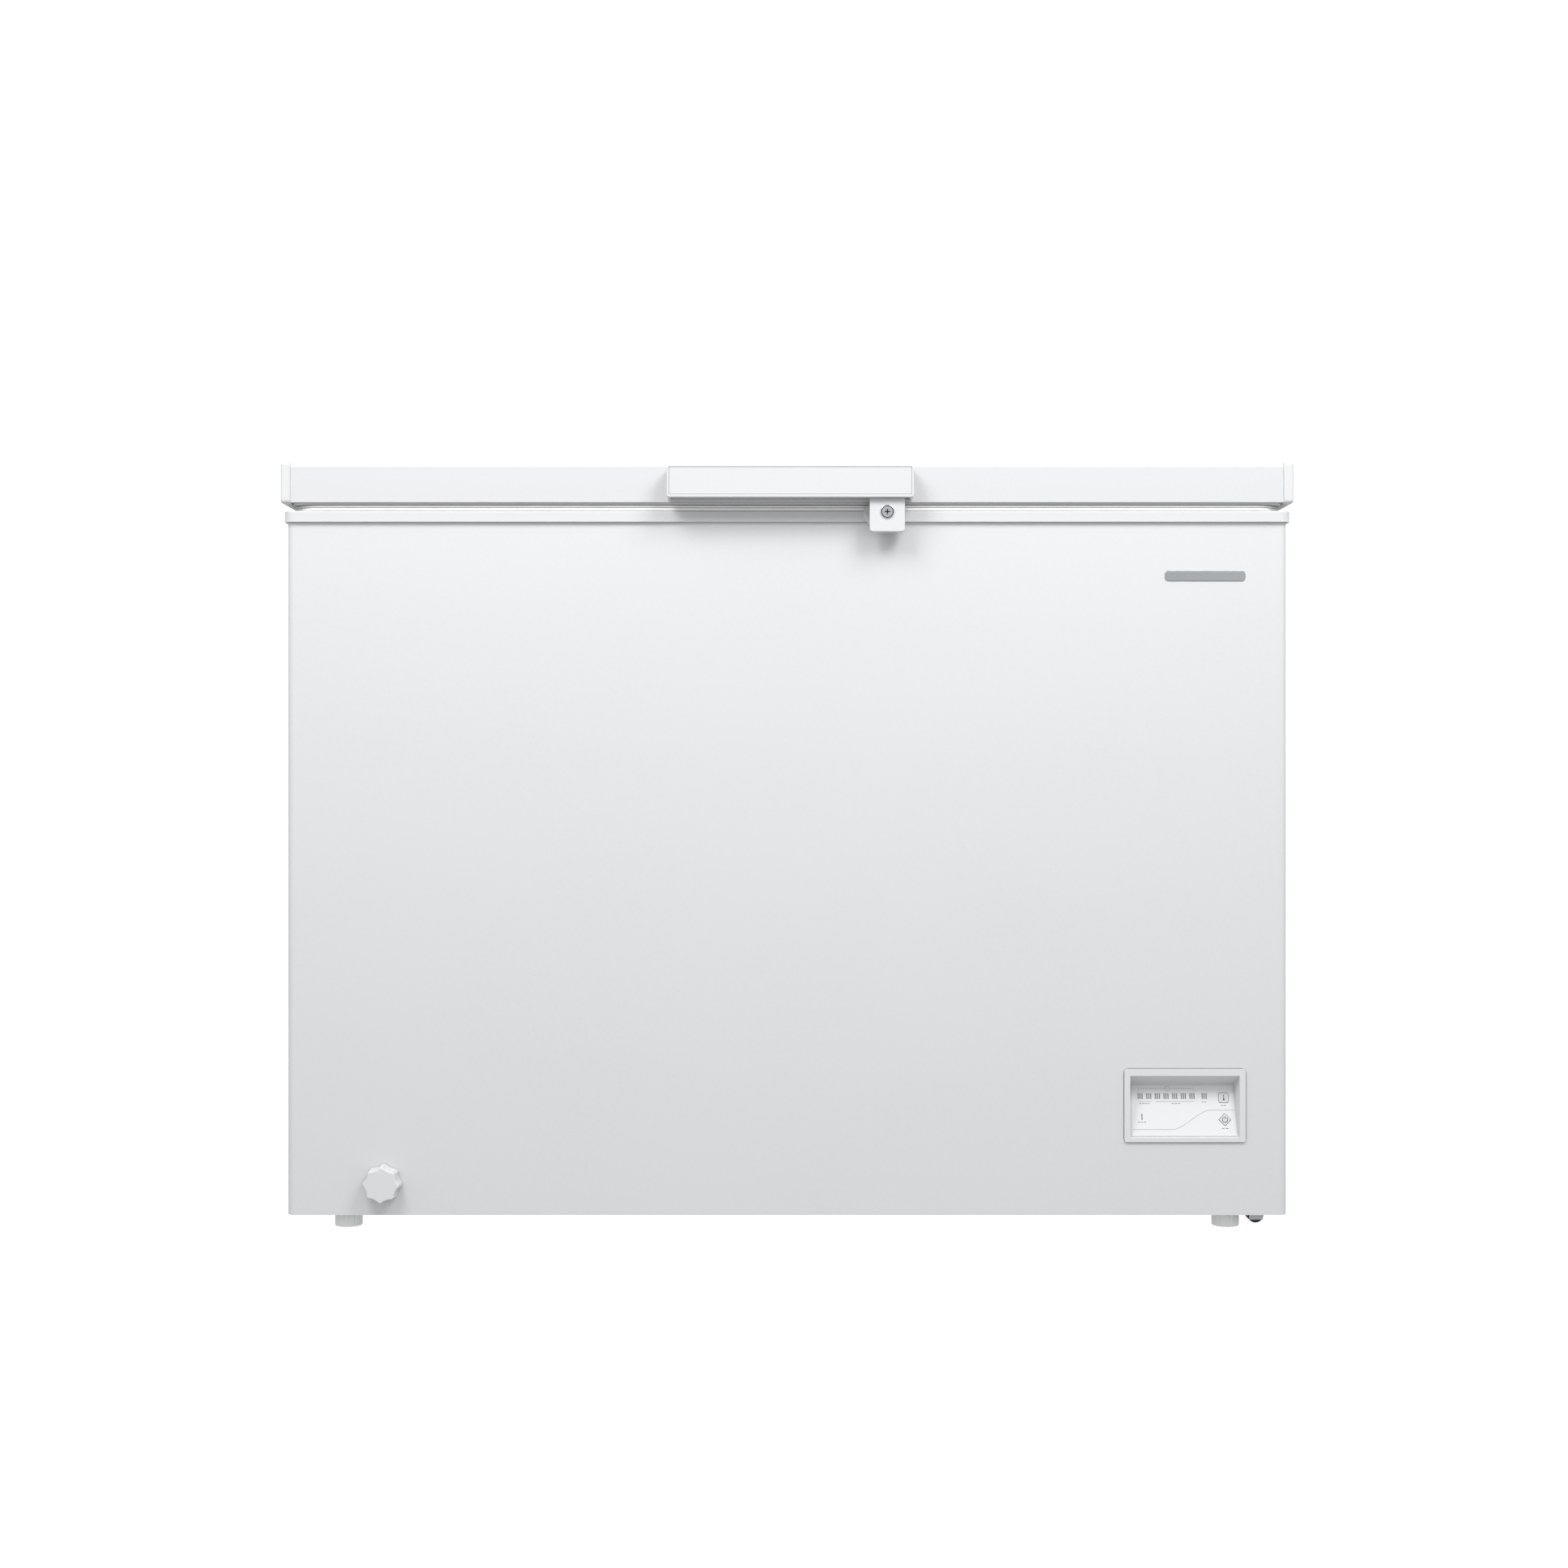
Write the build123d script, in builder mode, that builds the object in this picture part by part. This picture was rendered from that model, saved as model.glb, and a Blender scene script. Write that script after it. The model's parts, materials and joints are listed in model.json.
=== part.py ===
"""Chest freezer: a foamed steel cabinet with a sprung, top-opening lid.

Millimetres. The origin is on the floor, at the centre of the footprint. +X runs to the right as the
user stands in front, -Y faces the user and +Z is up.
"""

from build123d import *
import math
import os

os.makedirs("parts", exist_ok=True)

# ---------------------------------------------------------------------------------------------
# Driving dimensions
# ---------------------------------------------------------------------------------------------

# Depth, from the handle's face to the back of the hinges
DEPTH = 645.5
HANDLE_PROUD = 25.5
HANDLE_FRONT = -DEPTH / 2
LID_FRONT = HANDLE_FRONT + HANDLE_PROUD
OVERHANG = 4.0
COLLAR_FRONT = LID_FRONT + OVERHANG
BODY_FRONT = COLLAR_FRONT + OVERHANG
BODY_DEPTH = 570.0
BODY_BACK = BODY_FRONT + BODY_DEPTH
LID_BACK = BODY_BACK + OVERHANG
HINGE_BACK = DEPTH / 2
MID_Y = (BODY_FRONT + BODY_BACK) / 2
LID_MID_Y = (LID_FRONT + LID_BACK) / 2
LID_DEPTH = LID_BACK - LID_FRONT

# Width, as half widths about the middle
LID_HALF = 559.0
LID_SKIN_HALF = 548.0
COLLAR_HALF = 557.4
BODY_HALF = 553.7

# Heights above the floor
WRAP_LOW = 17.0
BASE_LOW = 30.0
WRAP_TOP = 792.0
COLLAR_LOW = 783.8
COLLAR_TOP = 795.9
LID_LOW = 804.8
LID_TOP = 848.5
HEIGHT = 850.0

# Sheet and walls
SHEET = 0.8
CORNER_R = 8.0
PAN_SHEET = 1.2
PAN_INSET = 3.5
SIDE_WALL = 60.0
FRONT_WALL = 56.0
IN_HALF_X = BODY_HALF - SIDE_WALL
IN_HALF_Y = BODY_DEPTH / 2 - FRONT_WALL
TUB_CORNER_R = 30.0
TUB_FLOOR_R = 12.0
FLOOR_Z = 88.0
STEP_X = 190.0
STEP_Z = 316.0
FOAM_TOP = 783.4
FOAM_GAP = 0.3

# Machine room under the step
ROOM_X = 245.0
ROOM_TOP = 256.0
DECK_TOP = BASE_LOW + 1.5

# Feet and transport rollers
FOOT_X = 491.0
FOOT_INSET_Y = 32.0
FOOT_R = 15.2
FOOT_H = 26.0
STEM_R = 4.0
STEM_TOP = 50.0
NUT_R = 7.5
NUT_H = 7.0
ROLLER_X = 519.5
ROLLER_Z = 16.5
ROLLER_R = 9.0
ROLLER_W = 20.0
ROLLER_FRONT = BODY_FRONT + 5.0
ROLLER_REAR = BODY_BACK - 7.0 - ROLLER_W

# Handle and lock
HANDLE_X = 3.5
HANDLE_HALF = 135.2
HANDLE_LOW = 807.0
HANDLE_TOP = 842.5
LOCK_X = 109.7
LOCK_Z = 792.0
LOCK_HALF = 19.4
LOCK_LOW = 770.0
LOCK_FRONT = HANDLE_FRONT + 6.2
PLUG_R = 5.0
CAM_LENGTH = 17.0
STRIKER_X = 95.8
STRIKER_R = 11.5

# Control panel, on a face that leans back
PANEL_X = 440.0
PANEL_Z = 138.5
PANEL_W = 134.0
PANEL_H = 81.0
PANEL_PROUD = 2.0
RECESS_W = 121.6
RECESS_TOP = 171.9
RECESS_LOW = 102.5
RECESS_DEEP = 17.6
RECESS_SHALLOW = 2.0
CEILING_DROP = 12.0
OVERLAY = 0.6
BUTTON_TRAVEL = 0.5

# Defrost drain
DRAIN_X = -446.5
DRAIN_Z = 52.9
DRAIN_Y = -190.0
KNOB_R = 21.0
KNOB_DEPTH = 18.0
DRAIN_BORE_R = 10.0

# Blank badge
BADGE_X = 462.4
BADGE_Z = 724.4

# Side grille of the machine room
GRILLE_Y = 90.0
GRILLE_Z = 146.0
GRILLE_W = 230.0
GRILLE_H = 150.0

# Rear cover of the machine room, and the strain-relief bush in it
COVER_X = (ROOM_X - 8, BODY_HALF - 20.5)
COVER_Z = (WRAP_LOW + 3, ROOM_TOP + 8)
COVER_SCREW_X = (COVER_X[0] + 4, (COVER_X[0] + COVER_X[1]) / 2, COVER_X[1] - 6)
COVER_SCREW_Z = (COVER_Z[0] + 7, COVER_Z[1] - 4)
GLAND_X = COVER_X[1] - 34
GLAND_Z = COVER_Z[0] + 30

# Hinges: the pin stands behind the cabinet and the cam rides on a sprung slider
HINGE_X = 340.0
PIN_Y = BODY_BACK + 27.0
PIN_Z = 800.0
PIN_R = 4.0
CAM_REACH = 20.0
CAM_BASE_R = 8.0
LID_OPENING = math.radians(80)
SLIDER_GAP = 0.15
SLIDER_TOP = PIN_Z - CAM_REACH - SLIDER_GAP
SLIDER_H = 26.0
SPRING_SEAT = 652.0

# Compressor
COMP_X = 385.0
COMP_Y = 40.0
COMP_R = 72.0
COMP_LOW = 46.5
COMP_TOP = 214.0

# Basket
BASKET_X = 340.0
BASKET_HALF_X = 135.0
BASKET_HALF_Y = 208.0
BASKET_LOW = 590.0
LEDGE_Z = 787.0
LEDGE_W = 13.0
RIM_R = 3.0
WIRE_R = 1.6


# ---------------------------------------------------------------------------------------------
# Helpers, called inside an open part unless they say otherwise
# ---------------------------------------------------------------------------------------------


def block(x, y, z, mode=Mode.ADD):
    """Box between two corners, given as (low, high) pairs."""
    with Locations(((x[0] + x[1]) / 2, (y[0] + y[1]) / 2, (z[0] + z[1]) / 2)):
        Box(x[1] - x[0], y[1] - y[0], z[1] - z[0], mode=mode)


def rod(start, end, radius, mode=Mode.ADD):
    """Round bar from one point to another."""
    run = Vector(*end) - Vector(*start)
    with Locations(Plane(origin=start, z_dir=run).location):
        Cylinder(radius, run.length, align=(Align.CENTER, Align.CENTER, Align.MIN), mode=mode)


def frame(outer, inner, z, mid_y=MID_Y):
    """Upright ring between two rounded rectangles, each (half x, half y, radius)."""
    with BuildSketch(Plane.XY.offset(z[0])) as ring:
        with Locations((0, mid_y)):
            RectangleRounded(2 * outer[0], 2 * outer[1], outer[2])
            RectangleRounded(2 * inner[0], 2 * inner[1], inner[2], mode=Mode.SUBTRACT)
    extrude(ring.sketch, amount=z[1] - z[0])


def tube_along(points, radius, bend):
    """Round tube along straight runs joined by tangent bends."""
    with BuildLine():
        path = FilletPolyline(*points, radius=bend)
    with BuildSketch(Plane(origin=path @ 0, z_dir=path % 0)) as section:
        Circle(radius)
    sweep(section.sketch, path=path)


def pan_screw(x, y, z, length):
    """Pan-head screw seated on a face that looks to the back."""
    rod((x, y, z), (x, y + 2.2, z), 4.0)
    rod((x, y - length, z), (x, y, z), 2.0)


def weld_nut(x, y, z):
    """Hexagon nut on the sheet, and the running hole for a foot's stem through both."""
    with BuildSketch(Plane.XY.offset(z)) as hexagon:
        with Locations((x, y)):
            RegularPolygon(NUT_R, 6)
    extrude(hexagon.sketch, amount=NUT_H)
    rod((x, y, 0), (x, y, z + NUT_H + 1), STEM_R + 0.05, Mode.SUBTRACT)


def cover_screw_holes():
    """Clearance for the screws of the rear cover."""
    for x in COVER_SCREW_X:
        for z in COVER_SCREW_Z:
            rod((x, BODY_BACK - 14, z), (x, BODY_BACK + 8, z), 2.2, Mode.SUBTRACT)


def save(piece, name):
    """Labels a finished piece and writes its file."""
    piece.part.label = name
    export_step(piece.part, f"parts/{name}.step")


def tub_half(x_low, x_high, floor, grow, top):
    """One rounded well of the tub, grown outwards by grow. Called outside any part."""
    with BuildPart() as well:
        with BuildSketch(Plane.XY.offset(floor - grow)):
            with Locations(((x_low + x_high) / 2, MID_Y)):
                RectangleRounded(
                    x_high - x_low + 2 * grow, 2 * (IN_HALF_Y + grow), TUB_CORNER_R + grow
                )
        extrude(amount=top - floor + grow)
        fillet(well.faces().sort_by(Axis.Z)[0].edges(), TUB_FLOOR_R + grow)
    return well.part


def tub(grow, top):
    """The storage space with its step over the machine room. Called outside any part."""
    deep = tub_half(-IN_HALF_X, STEP_X, FLOOR_Z, grow, top)
    shallow = tub_half(-IN_HALF_X, IN_HALF_X, STEP_Z, grow, top)
    return deep, shallow


# ---------------------------------------------------------------------------------------------
# Cabinet: skins, foam, liner and collar
# ---------------------------------------------------------------------------------------------

PANEL_HOUSING_W = 126.0
PANEL_HOUSING_H = 73.0
GRILLE_NECK_W = GRILLE_W - 16.0
GRILLE_NECK_H = GRILLE_H - 16.0

with BuildPart() as cabinet_wrap:
    with BuildSketch(Plane.XY.offset(WRAP_LOW)):
        with Locations((0, MID_Y)):
            RectangleRounded(2 * BODY_HALF, BODY_DEPTH, CORNER_R)
            offset(amount=-SHEET, mode=Mode.SUBTRACT)
    extrude(amount=WRAP_TOP - WRAP_LOW)
    # The back is open between two short returns, and the panel sits behind them
    block((-BODY_HALF + 18, BODY_HALF - 18), (BODY_BACK - 2, BODY_BACK + 1), (0, HEIGHT), Mode.SUBTRACT)
    # Window for the control panel's housing
    block(
        (PANEL_X - PANEL_HOUSING_W / 2 - 0.5, PANEL_X + PANEL_HOUSING_W / 2 + 0.5),
        (BODY_FRONT - 1, BODY_FRONT + 2),
        (PANEL_Z - PANEL_HOUSING_H / 2 - 0.5, PANEL_Z + PANEL_HOUSING_H / 2 + 0.5),
        Mode.SUBTRACT,
    )
    # Hole for the drain, and the opening of the side grille
    rod((DRAIN_X, BODY_FRONT - 5, DRAIN_Z), (DRAIN_X, BODY_FRONT + 5, DRAIN_Z), 12.6, Mode.SUBTRACT)
    block(
        (BODY_HALF - 2, BODY_HALF + 1),
        (GRILLE_Y - GRILLE_NECK_W / 2 - 0.5, GRILLE_Y + GRILLE_NECK_W / 2 + 0.5),
        (GRILLE_Z - GRILLE_NECK_H / 2 - 0.5, GRILLE_Z + GRILLE_NECK_H / 2 + 0.5),
        Mode.SUBTRACT,
    )
save(cabinet_wrap, "cabinet_wrap")

BACK_PANEL_Y = BODY_BACK - SHEET - 0.1
BACK_PANEL_HALF = BODY_HALF - 9.0
with BuildPart() as back_panel:
    block((-BACK_PANEL_HALF, BACK_PANEL_HALF), (BACK_PANEL_Y - SHEET, BACK_PANEL_Y), (WRAP_LOW, WRAP_TOP))
    # The lower corner is left open for the machine room
    block((ROOM_X, BODY_HALF), (BACK_PANEL_Y - 2, BACK_PANEL_Y + 1), (0, ROOM_TOP), Mode.SUBTRACT)
    cover_screw_holes()
save(back_panel, "back_panel")

PAN_Y = (BODY_FRONT + PAN_INSET, BODY_BACK - PAN_INSET)
FOOT_Y = (BODY_FRONT + FOOT_INSET_Y, BODY_BACK - FOOT_INSET_Y)
with BuildPart() as base_pan:
    block((-BODY_HALF + PAN_INSET, ROOM_X), PAN_Y, (BASE_LOW, BASE_LOW + PAN_SHEET))
    block((ROOM_X - PAN_SHEET, ROOM_X), PAN_Y, (BASE_LOW, ROOM_TOP))
    block((ROOM_X - PAN_SHEET, BODY_HALF - PAN_INSET), PAN_Y, (ROOM_TOP - PAN_SHEET, ROOM_TOP))
    for foot_y in FOOT_Y:
        weld_nut(-FOOT_X, foot_y, BASE_LOW + PAN_SHEET)
save(base_pan, "base_pan")

# The deck carries the compressor, two feet and both rollers
DECK_X = (ROOM_X + 0.3, BODY_HALF - PAN_INSET)
with BuildPart() as compressor_deck:
    block(DECK_X, PAN_Y, (BASE_LOW, DECK_TOP))
    for foot_y in FOOT_Y:
        weld_nut(FOOT_X, foot_y, DECK_TOP)
save(compressor_deck, "compressor_deck")

LINER_SHEET = 1.0
LINER_TOP = 783.7
liner_deep, liner_shallow = tub(LINER_SHEET, LINER_TOP)
space_deep, space_shallow = tub(0, LINER_TOP + 5)
with BuildPart() as inner_liner:
    add(liner_deep)
    add(liner_shallow)
    add(space_deep, mode=Mode.SUBTRACT)
    add(space_shallow, mode=Mode.SUBTRACT)
    rod((DRAIN_X, DRAIN_Y, 70), (DRAIN_X, DRAIN_Y, 100), 13.2, Mode.SUBTRACT)
save(inner_liner, "inner_liner")

# Evaporator: a tube wound round the tub, one turn above another
EVAP_R = 3.6
EVAP_TURNS = 7
EVAP_LOW = 352.0
EVAP_PITCH = 58.0
EVAP_OUT = LINER_SHEET + EVAP_R + 0.4
EVAP_GROOVE = LINER_SHEET + 2 * EVAP_R + 1.2
evap_x = IN_HALF_X + EVAP_OUT
evap_y = IN_HALF_Y + EVAP_OUT
evap_points = []
for turn in range(EVAP_TURNS):
    level = EVAP_LOW + turn * EVAP_PITCH
    evap_points += [
        (-evap_x, MID_Y + evap_y, level),
        (-evap_x, MID_Y - evap_y, level),
        (evap_x, MID_Y - evap_y, level),
        (evap_x, MID_Y + evap_y, level),
    ]
with BuildPart() as evaporator_coil:
    tube_along(evap_points, EVAP_R, TUB_CORNER_R + EVAP_OUT)
save(evaporator_coil, "evaporator_coil")

# Condenser: upright runs against the back panel
COND_R = 2.8
COND_Y = BACK_PANEL_Y - SHEET - COND_R - 0.3
COND_X = (-470.0, 170.0)
COND_Z = (330.0, 720.0)
COND_RUNS = 9
cond_pitch = (COND_X[1] - COND_X[0]) / (COND_RUNS - 1)
cond_points = []
for run in range(COND_RUNS):
    ends = COND_Z if run % 2 == 0 else COND_Z[::-1]
    cond_points += [(COND_X[0] + run * cond_pitch, COND_Y, end) for end in ends]
with BuildPart() as condenser_coil:
    tube_along(cond_points, COND_R, 0.45 * cond_pitch)
save(condenser_coil, "condenser_coil")

foam_deep, foam_shallow = tub(LINER_SHEET + FOAM_GAP, FOAM_TOP + 5)
with BuildPart() as insulation_foam:
    with BuildSketch(Plane.XY.offset(BASE_LOW + PAN_SHEET + 0.2)):
        with Locations((0, MID_Y)):
            RectangleRounded(
                2 * (BODY_HALF - SHEET - FOAM_GAP), BODY_DEPTH - 2 * (2 * SHEET + FOAM_GAP), CORNER_R
            )
    extrude(amount=FOAM_TOP - BASE_LOW - PAN_SHEET - 0.2)
    add(foam_deep, mode=Mode.SUBTRACT)
    add(foam_shallow, mode=Mode.SUBTRACT)
    block((ROOM_X - PAN_SHEET - 0.3, BODY_HALF), (BODY_FRONT, BODY_BACK), (0, ROOM_TOP + 0.2), Mode.SUBTRACT)
    # Grooves that the evaporator lies in: one for each turn, and a pocket where turns climb
    for turn in range(EVAP_TURNS):
        level = EVAP_LOW + turn * EVAP_PITCH
        block(
            (-IN_HALF_X - EVAP_GROOVE, IN_HALF_X + EVAP_GROOVE),
            (MID_Y - IN_HALF_Y - EVAP_GROOVE, MID_Y + IN_HALF_Y + EVAP_GROOVE),
            (level - EVAP_R - 1, level + EVAP_R + 1),
            Mode.SUBTRACT,
        )
    block(
        (-IN_HALF_X - EVAP_GROOVE, IN_HALF_X + EVAP_GROOVE),
        (MID_Y + IN_HALF_Y - TUB_CORNER_R, MID_Y + IN_HALF_Y + EVAP_GROOVE),
        (EVAP_LOW - EVAP_R - 1, EVAP_LOW + (EVAP_TURNS - 1) * EVAP_PITCH + EVAP_R + 1),
        Mode.SUBTRACT,
    )
    # Pocket for the condenser
    block(
        (COND_X[0] - 8, COND_X[1] + 8),
        (COND_Y - COND_R - 1, BODY_BACK),
        (COND_Z[0] - 8, COND_Z[1] + 8),
        Mode.SUBTRACT,
    )
    # Channels for the drain tube and the stems of the left feet
    rod((DRAIN_X, BODY_FRONT, DRAIN_Z), (DRAIN_X, DRAIN_Y + 13, DRAIN_Z), 13.0, Mode.SUBTRACT)
    rod((DRAIN_X, DRAIN_Y, DRAIN_Z - 13), (DRAIN_X, DRAIN_Y, FLOOR_Z + 1), 13.6, Mode.SUBTRACT)
    for foot_y in FOOT_Y:
        rod((-FOOT_X, foot_y, 0), (-FOOT_X, foot_y, STEM_TOP + 2), NUT_R + 1, Mode.SUBTRACT)
    cover_screw_holes()
save(insulation_foam, "insulation_foam")

# Plastic collar that closes the top of the walls, with an inner ledge for the basket
COLLAR_WALL = 3.0
mouth_x = IN_HALF_X - 2.4
mouth_y = IN_HALF_Y - 2.4
MOUTH_R = TUB_CORNER_R - 2.4
outer_edge = (COLLAR_HALF, BODY_DEPTH / 2 + OVERHANG, CORNER_R + OVERHANG)
outer_inside = (outer_edge[0] - COLLAR_WALL, outer_edge[1] - COLLAR_WALL, outer_edge[2] - COLLAR_WALL)
ledge_edge = (mouth_x + LEDGE_W, mouth_y + LEDGE_W, MOUTH_R + LEDGE_W)
ledge_outside = (ledge_edge[0] + 2.5, ledge_edge[1] + 2.5, ledge_edge[2] + 2.5)
mouth = (mouth_x, mouth_y, MOUTH_R)
mouth_outside = (mouth_x + 2.2, mouth_y + 2.2, MOUTH_R + 2.2)
with BuildPart() as top_collar:
    frame(outer_edge, outer_inside, (COLLAR_LOW, COLLAR_TOP))
    frame(outer_edge, ledge_edge, (COLLAR_TOP - COLLAR_WALL, COLLAR_TOP))
    frame(ledge_outside, ledge_edge, (LEDGE_Z - COLLAR_WALL, COLLAR_TOP))
    frame(ledge_outside, mouth, (LEDGE_Z - COLLAR_WALL, LEDGE_Z))
    frame(mouth_outside, mouth, (LEDGE_Z - 20, LEDGE_Z))
    # Rounded outer and inner edges of the sealing face
    top_edges = top_collar.faces().sort_by(Axis.Z)[-1].edges()
    fillet(top_edges, 1.5)
save(top_collar, "top_collar")

# ---------------------------------------------------------------------------------------------
# Machine room: compressor, pipes, covers
# ---------------------------------------------------------------------------------------------

MOUNT_DX = 82.0
MOUNT_DY = 44.0
with BuildPart() as compressor:
    # Hermetic shell: two pressed halves with a welded seam
    with Locations((COMP_X, COMP_Y, (COMP_LOW + COMP_TOP) / 2)):
        Cylinder(COMP_R, COMP_TOP - COMP_LOW)
    fillet(compressor.edges().sort_by(Axis.Z)[-1], 40)
    fillet(compressor.edges().sort_by(Axis.Z)[0], 22)
    with Locations((COMP_X, COMP_Y, 138)):
        Cylinder(COMP_R + 3, 4)
    # Pressed base plate on the four mounts
    block(
        (COMP_X - MOUNT_DX - 14, COMP_X + MOUNT_DX + 14),
        (COMP_Y - MOUNT_DY - 14, COMP_Y + MOUNT_DY + 14),
        (COMP_LOW - 2.5, COMP_LOW),
    )
    with Locations((COMP_X, COMP_Y, COMP_LOW)):
        with GridLocations(2 * MOUNT_DX, 2 * MOUNT_DY, 2, 2):
            Cylinder(5.2, 20, mode=Mode.SUBTRACT)
save(compressor, "compressor")

with BuildPart() as compressor_grommets:
    with Locations((COMP_X, COMP_Y, (DECK_TOP + COMP_LOW - 2.5) / 2)):
        with GridLocations(2 * MOUNT_DX, 2 * MOUNT_DY, 2, 2):
            Cylinder(11, COMP_LOW - 2.5 - DECK_TOP)
            Cylinder(4.3, 30, mode=Mode.SUBTRACT)
save(compressor_grommets, "compressor_grommets")

with BuildPart() as compressor_bolts:
    with Locations((COMP_X, COMP_Y, DECK_TOP)):
        with GridLocations(2 * MOUNT_DX, 2 * MOUNT_DY, 2, 2):
            Cylinder(4.0, 24, align=(Align.CENTER, Align.CENTER, Align.MIN))
    with Locations((COMP_X, COMP_Y, COMP_LOW)):
        with GridLocations(2 * MOUNT_DX, 2 * MOUNT_DY, 2, 2):
            Cylinder(9.0, 1.5, align=(Align.CENTER, Align.CENTER, Align.MIN))
    with BuildSketch(Plane.XY.offset(COMP_LOW + 1.5)):
        with Locations((COMP_X, COMP_Y)):
            with GridLocations(2 * MOUNT_DX, 2 * MOUNT_DY, 2, 2):
                RegularPolygon(7.5, 6)
    extrude(amount=5.5)
save(compressor_bolts, "compressor_bolts")

with BuildPart() as relay_cover:
    block((COMP_X + 60, COMP_X + COMP_R + 40), (COMP_Y - 30, COMP_Y + 30), (96, 126))
    block((COMP_X + 60, COMP_X + COMP_R + 34), (COMP_Y - 30, COMP_Y + 30), (126, 172))
    fillet(relay_cover.faces().sort_by(Axis.X)[-1].edges(), 4)
    rod((COMP_X, COMP_Y, 80), (COMP_X, COMP_Y, 190), COMP_R + 3.3, Mode.SUBTRACT)
save(relay_cover, "relay_cover")

PIPE_TOP = ROOM_TOP - PAN_SHEET
DISCHARGE_R = 3.2
SUCTION_R = 4.0
DRIER_X = 285.0
DRIER_Y = 190.0
with BuildPart() as refrigerant_pipes:
    # Filter drier: a spun copper cartridge with a stub at the top and a capillary at the foot
    rod((DRIER_X, DRIER_Y, 120), (DRIER_X, DRIER_Y, 205), 10)
    fillet(refrigerant_pipes.edges().filter_by(GeomType.CIRCLE), 6)
    rod((DRIER_X, DRIER_Y, 203), (DRIER_X, DRIER_Y, PIPE_TOP), 3.2)
    rod((DRIER_X, DRIER_Y, 100), (DRIER_X, DRIER_Y, 121), 1.6)
    # Discharge and suction pipes
    tube_along(
        [
            (COMP_X - 18, COMP_Y - 16, COMP_TOP),
            (COMP_X - 18, COMP_Y - 16, 234),
            (275, COMP_Y - 60, 234),
            (275, COMP_Y - 60, PIPE_TOP),
        ],
        DISCHARGE_R,
        9.0,
    )
    tube_along(
        [
            (COMP_X + 18, COMP_Y + 16, COMP_TOP),
            (COMP_X + 18, COMP_Y + 16, 236),
            (COMP_X + 60, 190, 236),
            (COMP_X + 60, 190, PIPE_TOP),
        ],
        SUCTION_R,
        8.0,
    )
save(refrigerant_pipes, "refrigerant_pipes")

# Louvred grille in the right side
SLATS = 10
with BuildPart() as vent_grille:
    block(
        (BODY_HALF, BODY_HALF + 2.2),
        (GRILLE_Y - GRILLE_W / 2, GRILLE_Y + GRILLE_W / 2),
        (GRILLE_Z - GRILLE_H / 2, GRILLE_Z + GRILLE_H / 2),
    )
    fillet(vent_grille.edges().filter_by(Axis.X), 6)
    fillet(vent_grille.faces().sort_by(Axis.X)[-1].edges(), 1.2)
    block(
        (BODY_HALF - 9, BODY_HALF),
        (GRILLE_Y - GRILLE_NECK_W / 2, GRILLE_Y + GRILLE_NECK_W / 2),
        (GRILLE_Z - GRILLE_NECK_H / 2, GRILLE_Z + GRILLE_NECK_H / 2),
    )
    block(
        (BODY_HALF - 10, BODY_HALF + 3),
        (GRILLE_Y - GRILLE_NECK_W / 2 + 3, GRILLE_Y + GRILLE_NECK_W / 2 - 3),
        (GRILLE_Z - GRILLE_NECK_H / 2 + 3, GRILLE_Z + GRILLE_NECK_H / 2 - 3),
        Mode.SUBTRACT,
    )
    slat_pitch = (GRILLE_NECK_H - 6) / SLATS
    for slat in range(SLATS):
        slat_z = GRILLE_Z - GRILLE_NECK_H / 2 + 3 + (slat + 0.5) * slat_pitch
        with Locations(Location((BODY_HALF - 3.6, GRILLE_Y, slat_z), (0, 35, 0))):
            Box(11, GRILLE_NECK_W - 5, 1.6)
    block(
        (BODY_HALF - 8, BODY_HALF + 1),
        (GRILLE_Y - 2, GRILLE_Y + 2),
        (GRILLE_Z - GRILLE_NECK_H / 2 + 2, GRILLE_Z + GRILLE_NECK_H / 2 - 2),
    )
save(vent_grille, "vent_grille")

# Rear cover of the machine room, with two rows of slots
with BuildPart() as rear_cover:
    block(COVER_X, (BACK_PANEL_Y, BACK_PANEL_Y + SHEET), COVER_Z)
    with BuildSketch(Plane.XZ.offset(-BACK_PANEL_Y)):
        with Locations(((COVER_X[0] + COVER_X[1]) / 2, 165)):
            with GridLocations(20, 70, 11, 2):
                SlotOverall(54, 6, rotation=90)
    extrude(amount=-3, mode=Mode.SUBTRACT)
    rod((GLAND_X, BODY_BACK - 8, GLAND_Z), (GLAND_X, BODY_BACK + 8, GLAND_Z), 8.2, Mode.SUBTRACT)
    cover_screw_holes()
save(rear_cover, "rear_cover")

# Strain-relief bush for the mains lead
GLAND_BORE_R = 4.0
GLAND_BACK = BACK_PANEL_Y + SHEET + 12
GLAND_FRONT = BACK_PANEL_Y - 6
with BuildPart() as cord_gland:
    rod((GLAND_X, GLAND_FRONT, GLAND_Z), (GLAND_X, GLAND_BACK, GLAND_Z), 8.0)
    rod((GLAND_X, BACK_PANEL_Y + SHEET + 0.05, GLAND_Z), (GLAND_X, BACK_PANEL_Y + SHEET + 4, GLAND_Z), 11.0)
    rod((GLAND_X, GLAND_FRONT - 1, GLAND_Z), (GLAND_X, GLAND_BACK + 1, GLAND_Z), GLAND_BORE_R, Mode.SUBTRACT)
save(cord_gland, "cord_gland")


# ---------------------------------------------------------------------------------------------
# Control panel
# ---------------------------------------------------------------------------------------------

lean_top = Vector(0, BODY_FRONT + RECESS_DEEP, RECESS_TOP - CEILING_DROP)
lean_low = Vector(0, BODY_FRONT + RECESS_SHALLOW, RECESS_LOW + 0.8)
lean_up = (lean_top - lean_low).normalized()
lean_mid = (lean_top + lean_low) * 0.5
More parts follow.
